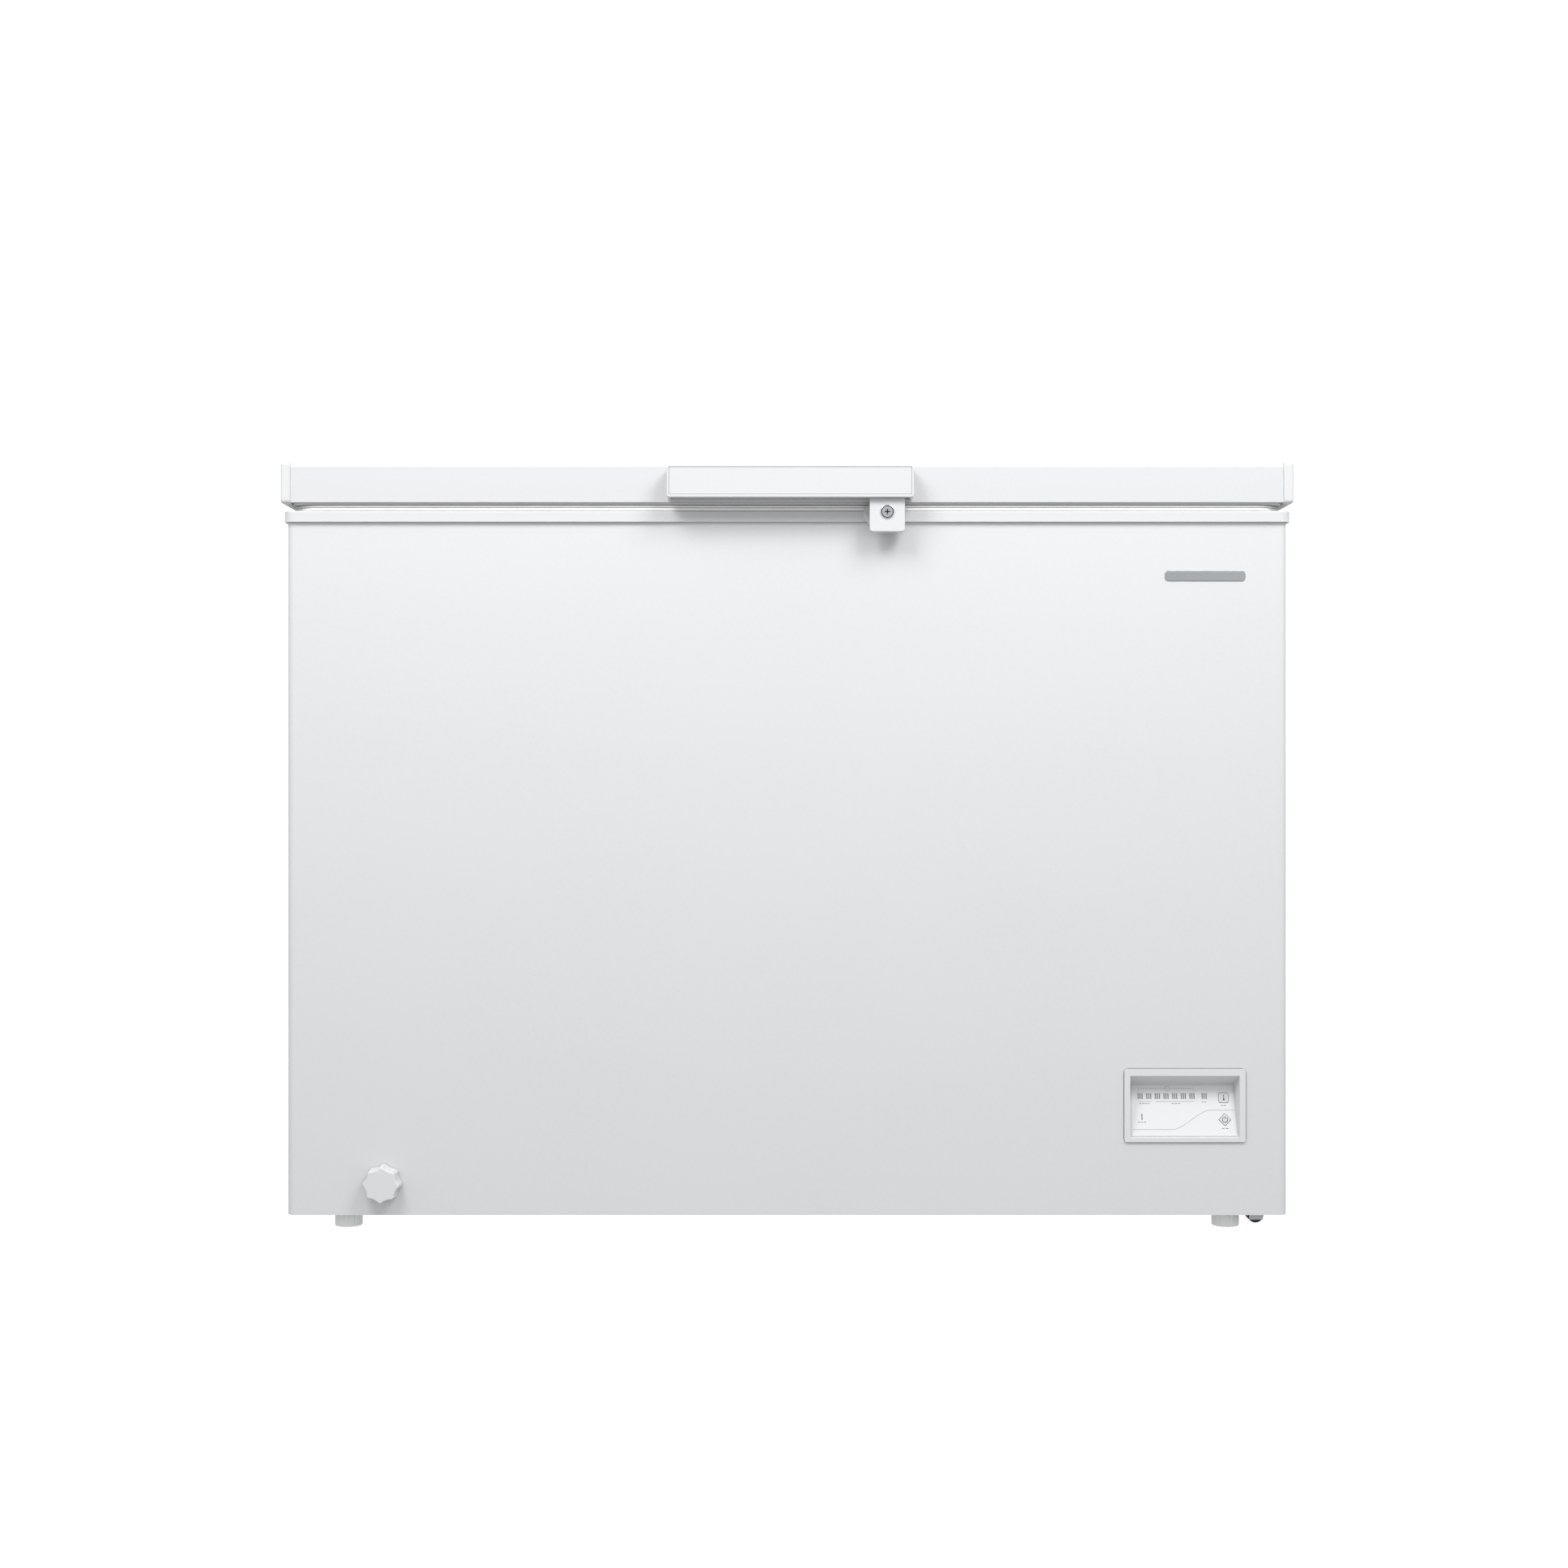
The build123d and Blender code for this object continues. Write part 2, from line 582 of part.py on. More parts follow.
# Leaning plane: local x to the right, local y up the face, local z out to the user
LEAN = Plane(
    origin=(PANEL_X, lean_mid.Y, lean_mid.Z),
    x_dir=(1, 0, 0),
    z_dir=Vector(1, 0, 0).cross(lean_up),
)
LEAN_OUT = Axis(LEAN.origin, LEAN.z_dir)
LEAN_H = (lean_top - lean_low).length
HOUSING_DEEP = 34.0
LEAN_FLOOR = 2.0
TEMPERATURE_AT = (45.3, 13.7)
POWER_AT = (45.7, -10.5)
BUTTON_HALF = 5.4
DIAMOND_R = 6.6

with BuildPart() as recess:
    with BuildSketch(Plane.XZ.offset(-(BODY_FRONT - PANEL_PROUD - 1))):
        with Locations((PANEL_X, (RECESS_TOP + RECESS_LOW) / 2)):
            Rectangle(RECESS_W, RECESS_TOP - RECESS_LOW)
    extrude(amount=-40, taper=9.5)
    split(bisect_by=LEAN, keep=Keep.TOP)
    # The ceiling slopes from the front opening down to the top of the leaning face
    ceiling = Plane(
        origin=(PANEL_X, BODY_FRONT - PANEL_PROUD - 1, RECESS_TOP),
        x_dir=(1, 0, 0),
        z_dir=(0, CEILING_DROP, RECESS_DEEP + PANEL_PROUD + 1),
    )
    split(bisect_by=ceiling, keep=Keep.BOTTOM)

with BuildPart() as hollow_behind:
    block(
        (PANEL_X - PANEL_HOUSING_W / 2 + 2, PANEL_X + PANEL_HOUSING_W / 2 - 2),
        (BODY_FRONT, BODY_FRONT + HOUSING_DEEP + 1),
        (PANEL_Z - PANEL_HOUSING_H / 2 + 2, PANEL_Z + PANEL_HOUSING_H / 2 - 2),
    )
    split(bisect_by=LEAN.offset(-LEAN_FLOOR - OVERLAY), keep=Keep.BOTTOM)
    split(bisect_by=ceiling.offset(3.0), keep=Keep.BOTTOM)

with BuildPart() as control_bezel:
    block(
        (PANEL_X - PANEL_HOUSING_W / 2, PANEL_X + PANEL_HOUSING_W / 2),
        (BODY_FRONT - PANEL_PROUD, BODY_FRONT + HOUSING_DEEP),
        (PANEL_Z - PANEL_HOUSING_H / 2, PANEL_Z + PANEL_HOUSING_H / 2),
    )
    with BuildSketch(Plane.XZ.offset(-BODY_FRONT)):
        with Locations((PANEL_X, PANEL_Z)):
            RectangleRounded(PANEL_W, PANEL_H, 3.2)
    extrude(amount=PANEL_PROUD)
    add(recess.part, mode=Mode.SUBTRACT)
    add(hollow_behind.part, mode=Mode.SUBTRACT)
    # Holes for the two buttons
    with BuildSketch(LEAN.offset(1)):
        with Locations(TEMPERATURE_AT):
            RectangleRounded(2 * BUTTON_HALF + 0.8, 2 * BUTTON_HALF + 0.8, 2.4)
        with Locations(POWER_AT):
            RegularPolygon(DIAMOND_R + 0.6, 4, rotation=0)
    extrude(amount=-LEAN_FLOOR - OVERLAY - 2, mode=Mode.SUBTRACT)
save(control_bezel, "control_bezel")

with BuildPart() as control_overlay:
    # Printed film, a little smaller than the leaning face, narrower at its deep top edge
    with BuildSketch(LEAN.offset(0.02)):
        with BuildLine():
            Polyline(
                (-56.4, LEAN_H / 2 - 2.2),
                (56.4, LEAN_H / 2 - 2.2),
                (58.4, -LEAN_H / 2 + 0.8),
                (-58.4, -LEAN_H / 2 + 0.8),
                close=True,
            )
        make_face()
        with Locations(TEMPERATURE_AT):
            RectangleRounded(2 * BUTTON_HALF + 0.8, 2 * BUTTON_HALF + 0.8, 2.4, mode=Mode.SUBTRACT)
        with Locations(POWER_AT):
            RegularPolygon(DIAMOND_R + 0.6, 4, rotation=0, mode=Mode.SUBTRACT)
    extrude(amount=OVERLAY)
save(control_overlay, "control_overlay")

BUTTON_PROUD = 1.3
BUTTON_TAIL = 5.0
with BuildPart() as temperature_button:
    with BuildSketch(LEAN.offset(-BUTTON_TAIL)):
        with Locations(TEMPERATURE_AT):
            RectangleRounded(2 * BUTTON_HALF, 2 * BUTTON_HALF, 2.0)
    extrude(amount=BUTTON_TAIL + BUTTON_PROUD)
    fillet(temperature_button.faces().sort_by(LEAN_OUT)[-1].edges(), 0.5)
save(temperature_button, "temperature_button")

with BuildPart() as power_button:
    with BuildSketch(LEAN.offset(-BUTTON_TAIL)):
        with Locations(POWER_AT):
            RegularPolygon(DIAMOND_R, 4, rotation=0)
    extrude(amount=BUTTON_TAIL + BUTTON_PROUD)
    fillet(power_button.faces().sort_by(LEAN_OUT)[-1].edges(), 0.5)
save(power_button, "power_button")

BOARD_BACK = -12.0
with BuildPart() as control_board:
    with BuildSketch(LEAN.offset(BOARD_BACK)):
        Rectangle(108, 44)
    extrude(amount=1.6)
    # Tactile switches under the buttons, and the display block
    with BuildSketch(LEAN.offset(BOARD_BACK + 1.6)):
        with Locations(TEMPERATURE_AT, POWER_AT):
            Rectangle(6, 6)
        with Locations((-10, 10)):
            Rectangle(70, 8)
    extrude(amount=-BOARD_BACK - 1.6 - BUTTON_TAIL - BUTTON_TRAVEL - 0.4)
save(control_board, "control_board")

# ---------------------------------------------------------------------------------------------
# Defrost drain
# ---------------------------------------------------------------------------------------------

SPOUT_FRONT = BODY_FRONT - 1.5
with BuildPart() as drain_outlet:
    # Elbow: down from the tub's floor, then forward to the front wall
    rod((DRAIN_X, DRAIN_Y, DRAIN_Z), (DRAIN_X, DRAIN_Y, FLOOR_Z + 0.6), 12.4)
    rod((DRAIN_X, DRAIN_Y, FLOOR_Z + 0.1), (DRAIN_X, DRAIN_Y, FLOOR_Z + 1.6), 18.0)
    rod((DRAIN_X, DRAIN_Y, DRAIN_Z), (DRAIN_X, SPOUT_FRONT, DRAIN_Z), 12.4)
    with Locations((DRAIN_X, DRAIN_Y, DRAIN_Z)):
        Sphere(12.4)
    rod((DRAIN_X, BODY_FRONT - 0.05, DRAIN_Z), (DRAIN_X, SPOUT_FRONT, DRAIN_Z), 17.0)
    rod((DRAIN_X, DRAIN_Y, DRAIN_Z), (DRAIN_X, DRAIN_Y, FLOOR_Z + 5), DRAIN_BORE_R, Mode.SUBTRACT)
    rod((DRAIN_X, DRAIN_Y, DRAIN_Z), (DRAIN_X, SPOUT_FRONT - 5, DRAIN_Z), DRAIN_BORE_R, Mode.SUBTRACT)
save(drain_outlet, "drain_outlet")

# Tube that slides out with the dial, and the seal ring on it
DIAL_TUBE_R = DRAIN_BORE_R - 0.25
DIAL_BORE_R = 7.0
SEAL_BACK = SPOUT_FRONT - 0.5
SEAL_FRONT = SPOUT_FRONT - 3.0
KNOB_BACK = BODY_FRONT - 1.0
KNOB_FRONT = KNOB_BACK - KNOB_DEPTH
TUBE_FRONT = KNOB_FRONT + 4.2
TUBE_END = BODY_FRONT + 55
with BuildPart() as drain_tube:
    rod((DRAIN_X, TUBE_FRONT, DRAIN_Z), (DRAIN_X, TUBE_END, DRAIN_Z), DIAL_TUBE_R)
    rod((DRAIN_X, TUBE_FRONT + 3, DRAIN_Z), (DRAIN_X, TUBE_END + 1, DRAIN_Z), DIAL_BORE_R, Mode.SUBTRACT)
    # Port underneath, which comes out of the wall when the dial is pulled
    port_y = SPOUT_FRONT + 7.5
    rod((DRAIN_X, port_y, DRAIN_Z), (DRAIN_X, port_y, DRAIN_Z - 12), 4.0, Mode.SUBTRACT)
save(drain_tube, "drain_tube")

with BuildPart() as drain_seal:
    rod((DRAIN_X, SEAL_FRONT, DRAIN_Z), (DRAIN_X, SEAL_BACK, DRAIN_Z), 12.0)
    seal_bore_r = DIAL_TUBE_R + 0.08
    rod((DRAIN_X, SEAL_FRONT - 1, DRAIN_Z), (DRAIN_X, SEAL_BACK + 1, DRAIN_Z), seal_bore_r, Mode.SUBTRACT)
save(drain_seal, "drain_seal")

# Fluted dial that turns on the tube: eight scallops, drawn in towards the face
FLUTES = 8
with BuildPart() as drain_knob:
    with BuildSketch(Plane.XZ.offset(-KNOB_BACK)):
        with Locations((DRAIN_X, DRAIN_Z)):
            Circle(KNOB_R)
            with PolarLocations(KNOB_R + 14.0, FLUTES, start_angle=20):
                Circle(16.2, mode=Mode.SUBTRACT)
    extrude(amount=KNOB_DEPTH, taper=4)
    fillet(drain_knob.faces().sort_by(Axis.Y)[0].edges(), 1.5)
    # Hollow behind, which clears the spout's flange and the seal ring, and the bore for the tube
    rod((DRAIN_X, KNOB_BACK + 1, DRAIN_Z), (DRAIN_X, SEAL_FRONT - 0.3, DRAIN_Z), 17.3, Mode.SUBTRACT)
    rod((DRAIN_X, KNOB_BACK + 1, DRAIN_Z), (DRAIN_X, KNOB_FRONT + 4, DRAIN_Z), DIAL_TUBE_R + 0.15, Mode.SUBTRACT)
save(drain_knob, "drain_knob")

PLUG_STEM_R = DRAIN_BORE_R - 0.2
PLUG_LIFT = 30.0
with BuildPart() as drain_plug:
    rod((DRAIN_X, DRAIN_Y, FLOOR_Z - 12), (DRAIN_X, DRAIN_Y, FLOOR_Z + 3), PLUG_STEM_R)
    rod((DRAIN_X, DRAIN_Y, FLOOR_Z + 1.9), (DRAIN_X, DRAIN_Y, FLOOR_Z + 5.5), 15.0)
    fillet(drain_plug.edges().sort_by(Axis.Z)[-1], 1.5)
    # Finger tab
    block((DRAIN_X - 9, DRAIN_X + 9), (DRAIN_Y - 1.5, DRAIN_Y + 1.5), (FLOOR_Z + 5, FLOOR_Z + 16))
    fillet(drain_plug.edges().filter_by(Axis.Y).sort_by(Axis.Z)[-2:], 5)
save(drain_plug, "drain_plug")

# ---------------------------------------------------------------------------------------------
# Feet and transport rollers
# ---------------------------------------------------------------------------------------------


def levelling_foot(x, y):
    """Fluted foot on a threaded stem. Called outside any part."""
    with BuildPart() as foot:
        with BuildSketch():
            with Locations((x, y)):
                Circle(FOOT_R)
                with PolarLocations(FOOT_R + 1.4, 14):
                    Circle(2.4, mode=Mode.SUBTRACT)
        extrude(amount=FOOT_H - 3)
        with Locations((x, y, FOOT_H - 3)):
            Cylinder(FOOT_R + 1, 3, align=(Align.CENTER, Align.CENTER, Align.MIN))
            Cylinder(STEM_R, STEM_TOP - FOOT_H + 3, align=(Align.CENTER, Align.CENTER, Align.MIN))
        chamfer(foot.faces().sort_by(Axis.Z)[0].edges(), 0.8)
    return foot


for side, foot_x in (("left", -FOOT_X), ("right", FOOT_X)):
    for end, foot_y in zip(("front", "rear"), FOOT_Y):
        save(levelling_foot(foot_x, foot_y), f"levelling_foot_{end}_{side}")

AXLE_R = 2.5
ROLLER_CLEAR = 0.6
CHEEK = 1.5
CHEEK_HALF = 7.5
with BuildPart() as roller_brackets:
    for low_y in (ROLLER_FRONT, ROLLER_REAR):
        for cheek_y in (low_y - ROLLER_CLEAR - CHEEK, low_y + ROLLER_W + ROLLER_CLEAR):
            block(
                (ROLLER_X - CHEEK_HALF, ROLLER_X + CHEEK_HALF),
                (cheek_y, cheek_y + CHEEK),
                (ROLLER_Z - 5, BASE_LOW),
            )
            rod((ROLLER_X, cheek_y, ROLLER_Z), (ROLLER_X, cheek_y + CHEEK, ROLLER_Z), 5.0)
        block(
            (ROLLER_X - CHEEK_HALF, ROLLER_X + CHEEK_HALF),
            (low_y - ROLLER_CLEAR - CHEEK, low_y + ROLLER_W + ROLLER_CLEAR + CHEEK),
            (BASE_LOW - CHEEK, BASE_LOW),
        )
        # Axle, riveted into both cheeks
        rod((ROLLER_X, low_y - 2.8, ROLLER_Z), (ROLLER_X, low_y + ROLLER_W + 2.8, ROLLER_Z), AXLE_R)
save(roller_brackets, "roller_brackets")

for end, low_y in (("front", ROLLER_FRONT), ("rear", ROLLER_REAR)):
    with BuildPart() as roller:
        rod((ROLLER_X, low_y, ROLLER_Z), (ROLLER_X, low_y + ROLLER_W, ROLLER_Z), ROLLER_R)
        fillet(roller.edges().filter_by(GeomType.CIRCLE), 1.2)
        rod((ROLLER_X, low_y - 1, ROLLER_Z), (ROLLER_X, low_y + 40, ROLLER_Z), AXLE_R + 0.05, Mode.SUBTRACT)
    save(roller, f"transport_roller_{end}")

# ---------------------------------------------------------------------------------------------
# Lid
# ---------------------------------------------------------------------------------------------

with BuildPart() as lid_skin:
    block((-LID_SKIN_HALF, LID_SKIN_HALF), (LID_FRONT, LID_BACK), (LID_LOW, LID_TOP))
    fillet(lid_skin.faces().sort_by(Axis.Z)[-1].edges().filter_by(Axis.X), 5)
    ends = lid_skin.faces().sort_by(Axis.X)
    offset(amount=-SHEET, openings=[ends[0], ends[-1]])
    # The folded flanges leave the underside open for the liner
    block((-600, 600), (LID_FRONT + 14, LID_BACK - 14), (LID_LOW - 1, LID_LOW + 1.5), Mode.SUBTRACT)
save(lid_skin, "lid_skin")

LINER_TOP_Z = LID_LOW - 0.1
LINER_LOW_Z = LINER_TOP_Z - 2.2
PAN_LOW_Z = 797.0
lid_plate = (546.5, LID_DEPTH / 2 - 5, 6.0)
lid_pan = (470.0, 208.0, 30.0)
lid_pan_inside = (467.8, 205.8, 27.8)
with BuildPart() as lid_liner:
    frame(lid_plate, lid_pan_inside, (LINER_LOW_Z, LINER_TOP_Z), LID_MID_Y)
    frame(lid_pan, lid_pan_inside, (PAN_LOW_Z, LINER_TOP_Z), LID_MID_Y)
    with BuildSketch(Plane.XY.offset(PAN_LOW_Z)):
        with Locations((0, LID_MID_Y)):
            RectangleRounded(2 * lid_pan[0], 2 * lid_pan[1], lid_pan[2])
    extrude(amount=2.2)
    fillet(lid_liner.faces().sort_by(Axis.Z)[0].edges(), 2.0)
save(lid_liner, "lid_liner")

with BuildPart() as lid_foam:
    block((-538, 538), (LID_FRONT + 1.1, LID_BACK - 1.1), (LID_LOW + 1.1, LID_TOP - 1.1))
    fillet(lid_foam.faces().sort_by(Axis.Z)[-1].edges().filter_by(Axis.X), 5)
    with BuildSketch(Plane.XY.offset(PAN_LOW_Z + 2.5)):
        with Locations((0, LID_MID_Y)):
            RectangleRounded(2 * lid_pan_inside[0] - 0.8, 2 * lid_pan_inside[1] - 0.8, lid_pan_inside[2])
    extrude(amount=LID_LOW + 2 - PAN_LOW_Z - 2.5)
save(lid_foam, "lid_foam")

# Magnetic seal: base, waist and magnet bar
SEAL_LOW = COLLAR_TOP + 0.25
SEAL_TOP = LINER_LOW_Z - 0.05
seal_edge = (546.0, LID_DEPTH / 2 - 5, 8.0)


def seal_ring(outset, inset, z):
    """One layer of the seal, taken in from its outer and inner edge."""
    outer = (seal_edge[0] - outset, seal_edge[1] - outset, seal_edge[2])
    inner = (seal_edge[0] - 22 + inset, seal_edge[1] - 22 + inset, 6.0)
    frame(outer, inner, z, LID_MID_Y)


with BuildPart() as lid_gasket:
    seal_ring(0.5, 2, (SEAL_TOP - 1.6, SEAL_TOP))
    seal_ring(3.0, 6, (SEAL_TOP - 3.2, SEAL_TOP - 1.6))
    seal_ring(0, 0, (SEAL_LOW, SEAL_TOP - 3.2))
save(lid_gasket, "lid_gasket")


def lid_end_cap(side):
    """Moulded cap that closes one end of the lid; side is +1 or -1. Called outside any part."""

    def span(near, far):
        return tuple(sorted((side * near, side * far)))

    outside_y = (LID_FRONT - 1.5, LID_BACK + 1.5)
    outside_z = (LID_LOW - 1.4, HEIGHT)
    with BuildPart() as cap:
        block(span(LID_SKIN_HALF, LID_HALF), outside_y, outside_z)
        outer_face = cap.faces().sort_by(Axis.X)[-1 if side > 0 else 0]
        fillet(cap.edges().filter_by(Axis.X), 4)
        outer_face = cap.faces().sort_by(Axis.X)[-1 if side > 0 else 0]
        fillet(outer_face.edges(), 3)
        block(
            span(LID_SKIN_HALF - 1, LID_HALF - 2.5),
            (outside_y[0] + 4, outside_y[1] - 4),
            (outside_z[0] + 4, outside_z[1] - 4),
            Mode.SUBTRACT,
        )
        # Tongue that fits inside the folded skin
        for low, high in ((LID_LOW + 1.4, LID_LOW + 3.4), (LID_TOP - 3.4, LID_TOP - 1.4)):
            block(span(LID_SKIN_HALF - 8, LID_SKIN_HALF + 1), (LID_FRONT + 8, LID_BACK - 8), (low, high))
    return cap


save(lid_end_cap(-1), "lid_end_cap_left")
save(lid_end_cap(1), "lid_end_cap_right")

# Handle: a hooded grip with an inset face plate
FACE_HALF = HANDLE_HALF - 2.2
FACE_X = (HANDLE_X - FACE_HALF, HANDLE_X + FACE_HALF)
FACE_Z = (HANDLE_LOW + 3.2, HANDLE_TOP - 1.7)
with BuildPart() as handle_body:
    block(
        (HANDLE_X - HANDLE_HALF, HANDLE_X + HANDLE_HALF),
        (HANDLE_FRONT, LID_FRONT),
        (HANDLE_LOW, HANDLE_TOP),
    )
    fillet(handle_body.edges().filter_by(Axis.Y), 3)
    fillet(handle_body.faces().sort_by(Axis.Y)[0].edges(), 1.2)
    block(
        (HANDLE_X - HANDLE_HALF + 4, HANDLE_X + HANDLE_HALF - 4),
        (HANDLE_FRONT + 4, LID_FRONT - 3),
        (HANDLE_LOW - 1, HANDLE_TOP - 4),
        Mode.SUBTRACT,
    )
    block(FACE_X, (HANDLE_FRONT - 1, HANDLE_FRONT + 1.6), FACE_Z, Mode.SUBTRACT)
save(handle_body, "handle_body")

with BuildPart() as handle_face:
    block(
        (FACE_X[0] + 0.4, FACE_X[1] - 0.4),
        (HANDLE_FRONT + 0.3, HANDLE_FRONT + 1.6),
        (FACE_Z[0] + 0.4, FACE_Z[1] - 0.4),
    )
    fillet(handle_face.edges().filter_by(Axis.Y), 1.5)
    fillet(handle_face.faces().sort_by(Axis.Y)[0].edges(), 0.4)
save(handle_face, "handle_face")

# ---------------------------------------------------------------------------------------------
# Lock: a cam lock in a block under the handle, and its striker on the collar
# ---------------------------------------------------------------------------------------------

SLEEVE_LOCK_R = 6.55
LOCK_WEB_BACK = LOCK_FRONT + 9.5
LOCK_BACK = LID_FRONT - 2.3
with BuildPart() as lock_housing:
    block((LOCK_X - LOCK_HALF, LOCK_X + LOCK_HALF), (LOCK_FRONT, LOCK_BACK), (LOCK_LOW, HANDLE_LOW))
    fillet(lock_housing.edges().filter_by(Axis.Y).sort_by(Axis.Z)[:2], 4)
    front_edges = lock_housing.faces().sort_by(Axis.Y)[0].edges().sort_by(Axis.Z)[:-1]
    fillet(front_edges, 1.2)
    # Open at the back, below and to the left, so that the striker can reach the cam
    block(
        (LOCK_X - LOCK_HALF - 1, LOCK_X + LOCK_HALF - 3),
        (LOCK_WEB_BACK, LOCK_BACK + 1),
        (LOCK_LOW - 1, HANDLE_LOW - 3),
        Mode.SUBTRACT,
    )
    rod((LOCK_X, LOCK_FRONT - 1, LOCK_Z), (LOCK_X, LOCK_BACK, LOCK_Z), SLEEVE_LOCK_R + 0.02, Mode.SUBTRACT)
    # Tongue that is fixed to the back wall inside the handle
    block((LOCK_X - 15, LOCK_X + 15), (LOCK_WEB_BACK - 3, LID_FRONT - 3), (HANDLE_LOW - 3, HANDLE_LOW + 15))
save(lock_housing, "lock_housing")

with BuildPart() as lock_cylinder:
    rod((LOCK_X, LOCK_FRONT, LOCK_Z), (LOCK_X, LOCK_WEB_BACK, LOCK_Z), SLEEVE_LOCK_R)
    rod((LOCK_X, LOCK_FRONT - 1.2, LOCK_Z), (LOCK_X, LOCK_FRONT, LOCK_Z), 7.6)
    fillet(lock_cylinder.edges().sort_by(Axis.Y)[0], 0.6)
    rod((LOCK_X, LOCK_FRONT - 2, LOCK_Z), (LOCK_X, LOCK_BACK, LOCK_Z), PLUG_R + 0.05, Mode.SUBTRACT)
save(lock_cylinder, "lock_cylinder")

CAM_FRONT = LOCK_WEB_BACK + 1.9
with BuildPart() as lock_plug:
    rod((LOCK_X, LOCK_FRONT - 0.7, LOCK_Z), (LOCK_X, CAM_FRONT, LOCK_Z), PLUG_R)
    # Cross-shaped keyway
    for wide, high in ((0.7, 3.0), (3.0, 0.7)):
        block(
            (LOCK_X - wide, LOCK_X + wide),
            (LOCK_FRONT - 2, LOCK_FRONT + 6),
            (LOCK_Z - high, LOCK_Z + high),
            Mode.SUBTRACT,
        )
save(lock_plug, "lock_plug")

with BuildPart() as lock_cam:
    rod((LOCK_X, CAM_FRONT, LOCK_Z), (LOCK_X, CAM_FRONT + 2, LOCK_Z), 6.0)
    block((LOCK_X - 4, LOCK_X + 4), (CAM_FRONT, CAM_FRONT + 2), (LOCK_Z - CAM_LENGTH, LOCK_Z))
    fillet(lock_cam.edges().filter_by(Axis.Y).sort_by(Axis.Z)[:2], 2.5)
    # Nut that clamps the cam to the plug
    with BuildSketch(Plane.XZ.offset(-(CAM_FRONT + 2))):
        with Locations((LOCK_X, LOCK_Z)):
            RegularPolygon(3.6, 6)
    extrude(amount=-1.4)
save(lock_cam, "lock_cam")

LEDGE_LOW = LOCK_Z + 4.8
with BuildPart() as lock_striker:
    # Round pad on the collar, a foot that meets the front wall, and the ledge the cam hooks under
    rod((STRIKER_X, COLLAR_FRONT, LOCK_Z), (STRIKER_X, COLLAR_FRONT - 5.1, LOCK_Z), STRIKER_R)
    block((STRIKER_X - 7, STRIKER_X + 7), (COLLAR_FRONT - 3, BODY_FRONT), (COLLAR_LOW - 3, COLLAR_LOW))
    fillet(lock_striker.faces().sort_by(Axis.Y)[0].edges(), 1.0)
    block(
        (LOCK_X - LOCK_HALF + 1.0, LOCK_X - 9.5),
        (LOCK_WEB_BACK + 1.2, COLLAR_FRONT - 5),
        (LEDGE_LOW, LEDGE_LOW + 3.6),
    )
save(lock_striker, "lock_striker")

# Blank badge on the front wall
with BuildPart() as badge_plate:
    with BuildSketch(Plane.XZ.offset(-BODY_FRONT)):
        with Locations((BADGE_X, BADGE_Z)):
            RectangleRounded(89, 11.6, 4)
    extrude(amount=1.0)
    fillet(badge_plate.faces().sort_by(Axis.Y)[0].edges(), 0.5)
save(badge_plate, "badge_plate")

# ---------------------------------------------------------------------------------------------
# Hinges
# ---------------------------------------------------------------------------------------------

CHANNEL_HALF = 18.0
CHANNEL_SHEET = 2.0
CHANNEL_LOW = 644.0
EAR_R = 9.0
CHANNEL_SCREW_DX = 27.0
CHANNEL_SCREW_Z = (CHANNEL_LOW + 16, CHANNEL_LOW + 62, COLLAR_LOW - 18)
ARM_SCREW_DX = 21.0
ARM_SCREW_Z = (LID_LOW + 10, LID_TOP - 11)


def cam_outline():
    """Points of the lifting cam below the pin, in (y, z) about the pin, for a closed lid.

    Its distance to a flat follower falls by CAM_BASE_R for each radian, so it is an involute.
    """
    points = []
    for step in range(9):
        turned = LID_OPENING * step / 8
        reach = CAM_REACH - CAM_BASE_R * turned
        # Follower direction in the lid's frame after the lid has turned
        down = (math.sin(turned), -math.cos(turned))
        along = (-math.cos(turned), -math.sin(turned))
        points.append(
            (down[0] * reach + along[0] * CAM_BASE_R, down[1] * reach + along[1] * CAM_BASE_R)
        )
    return points


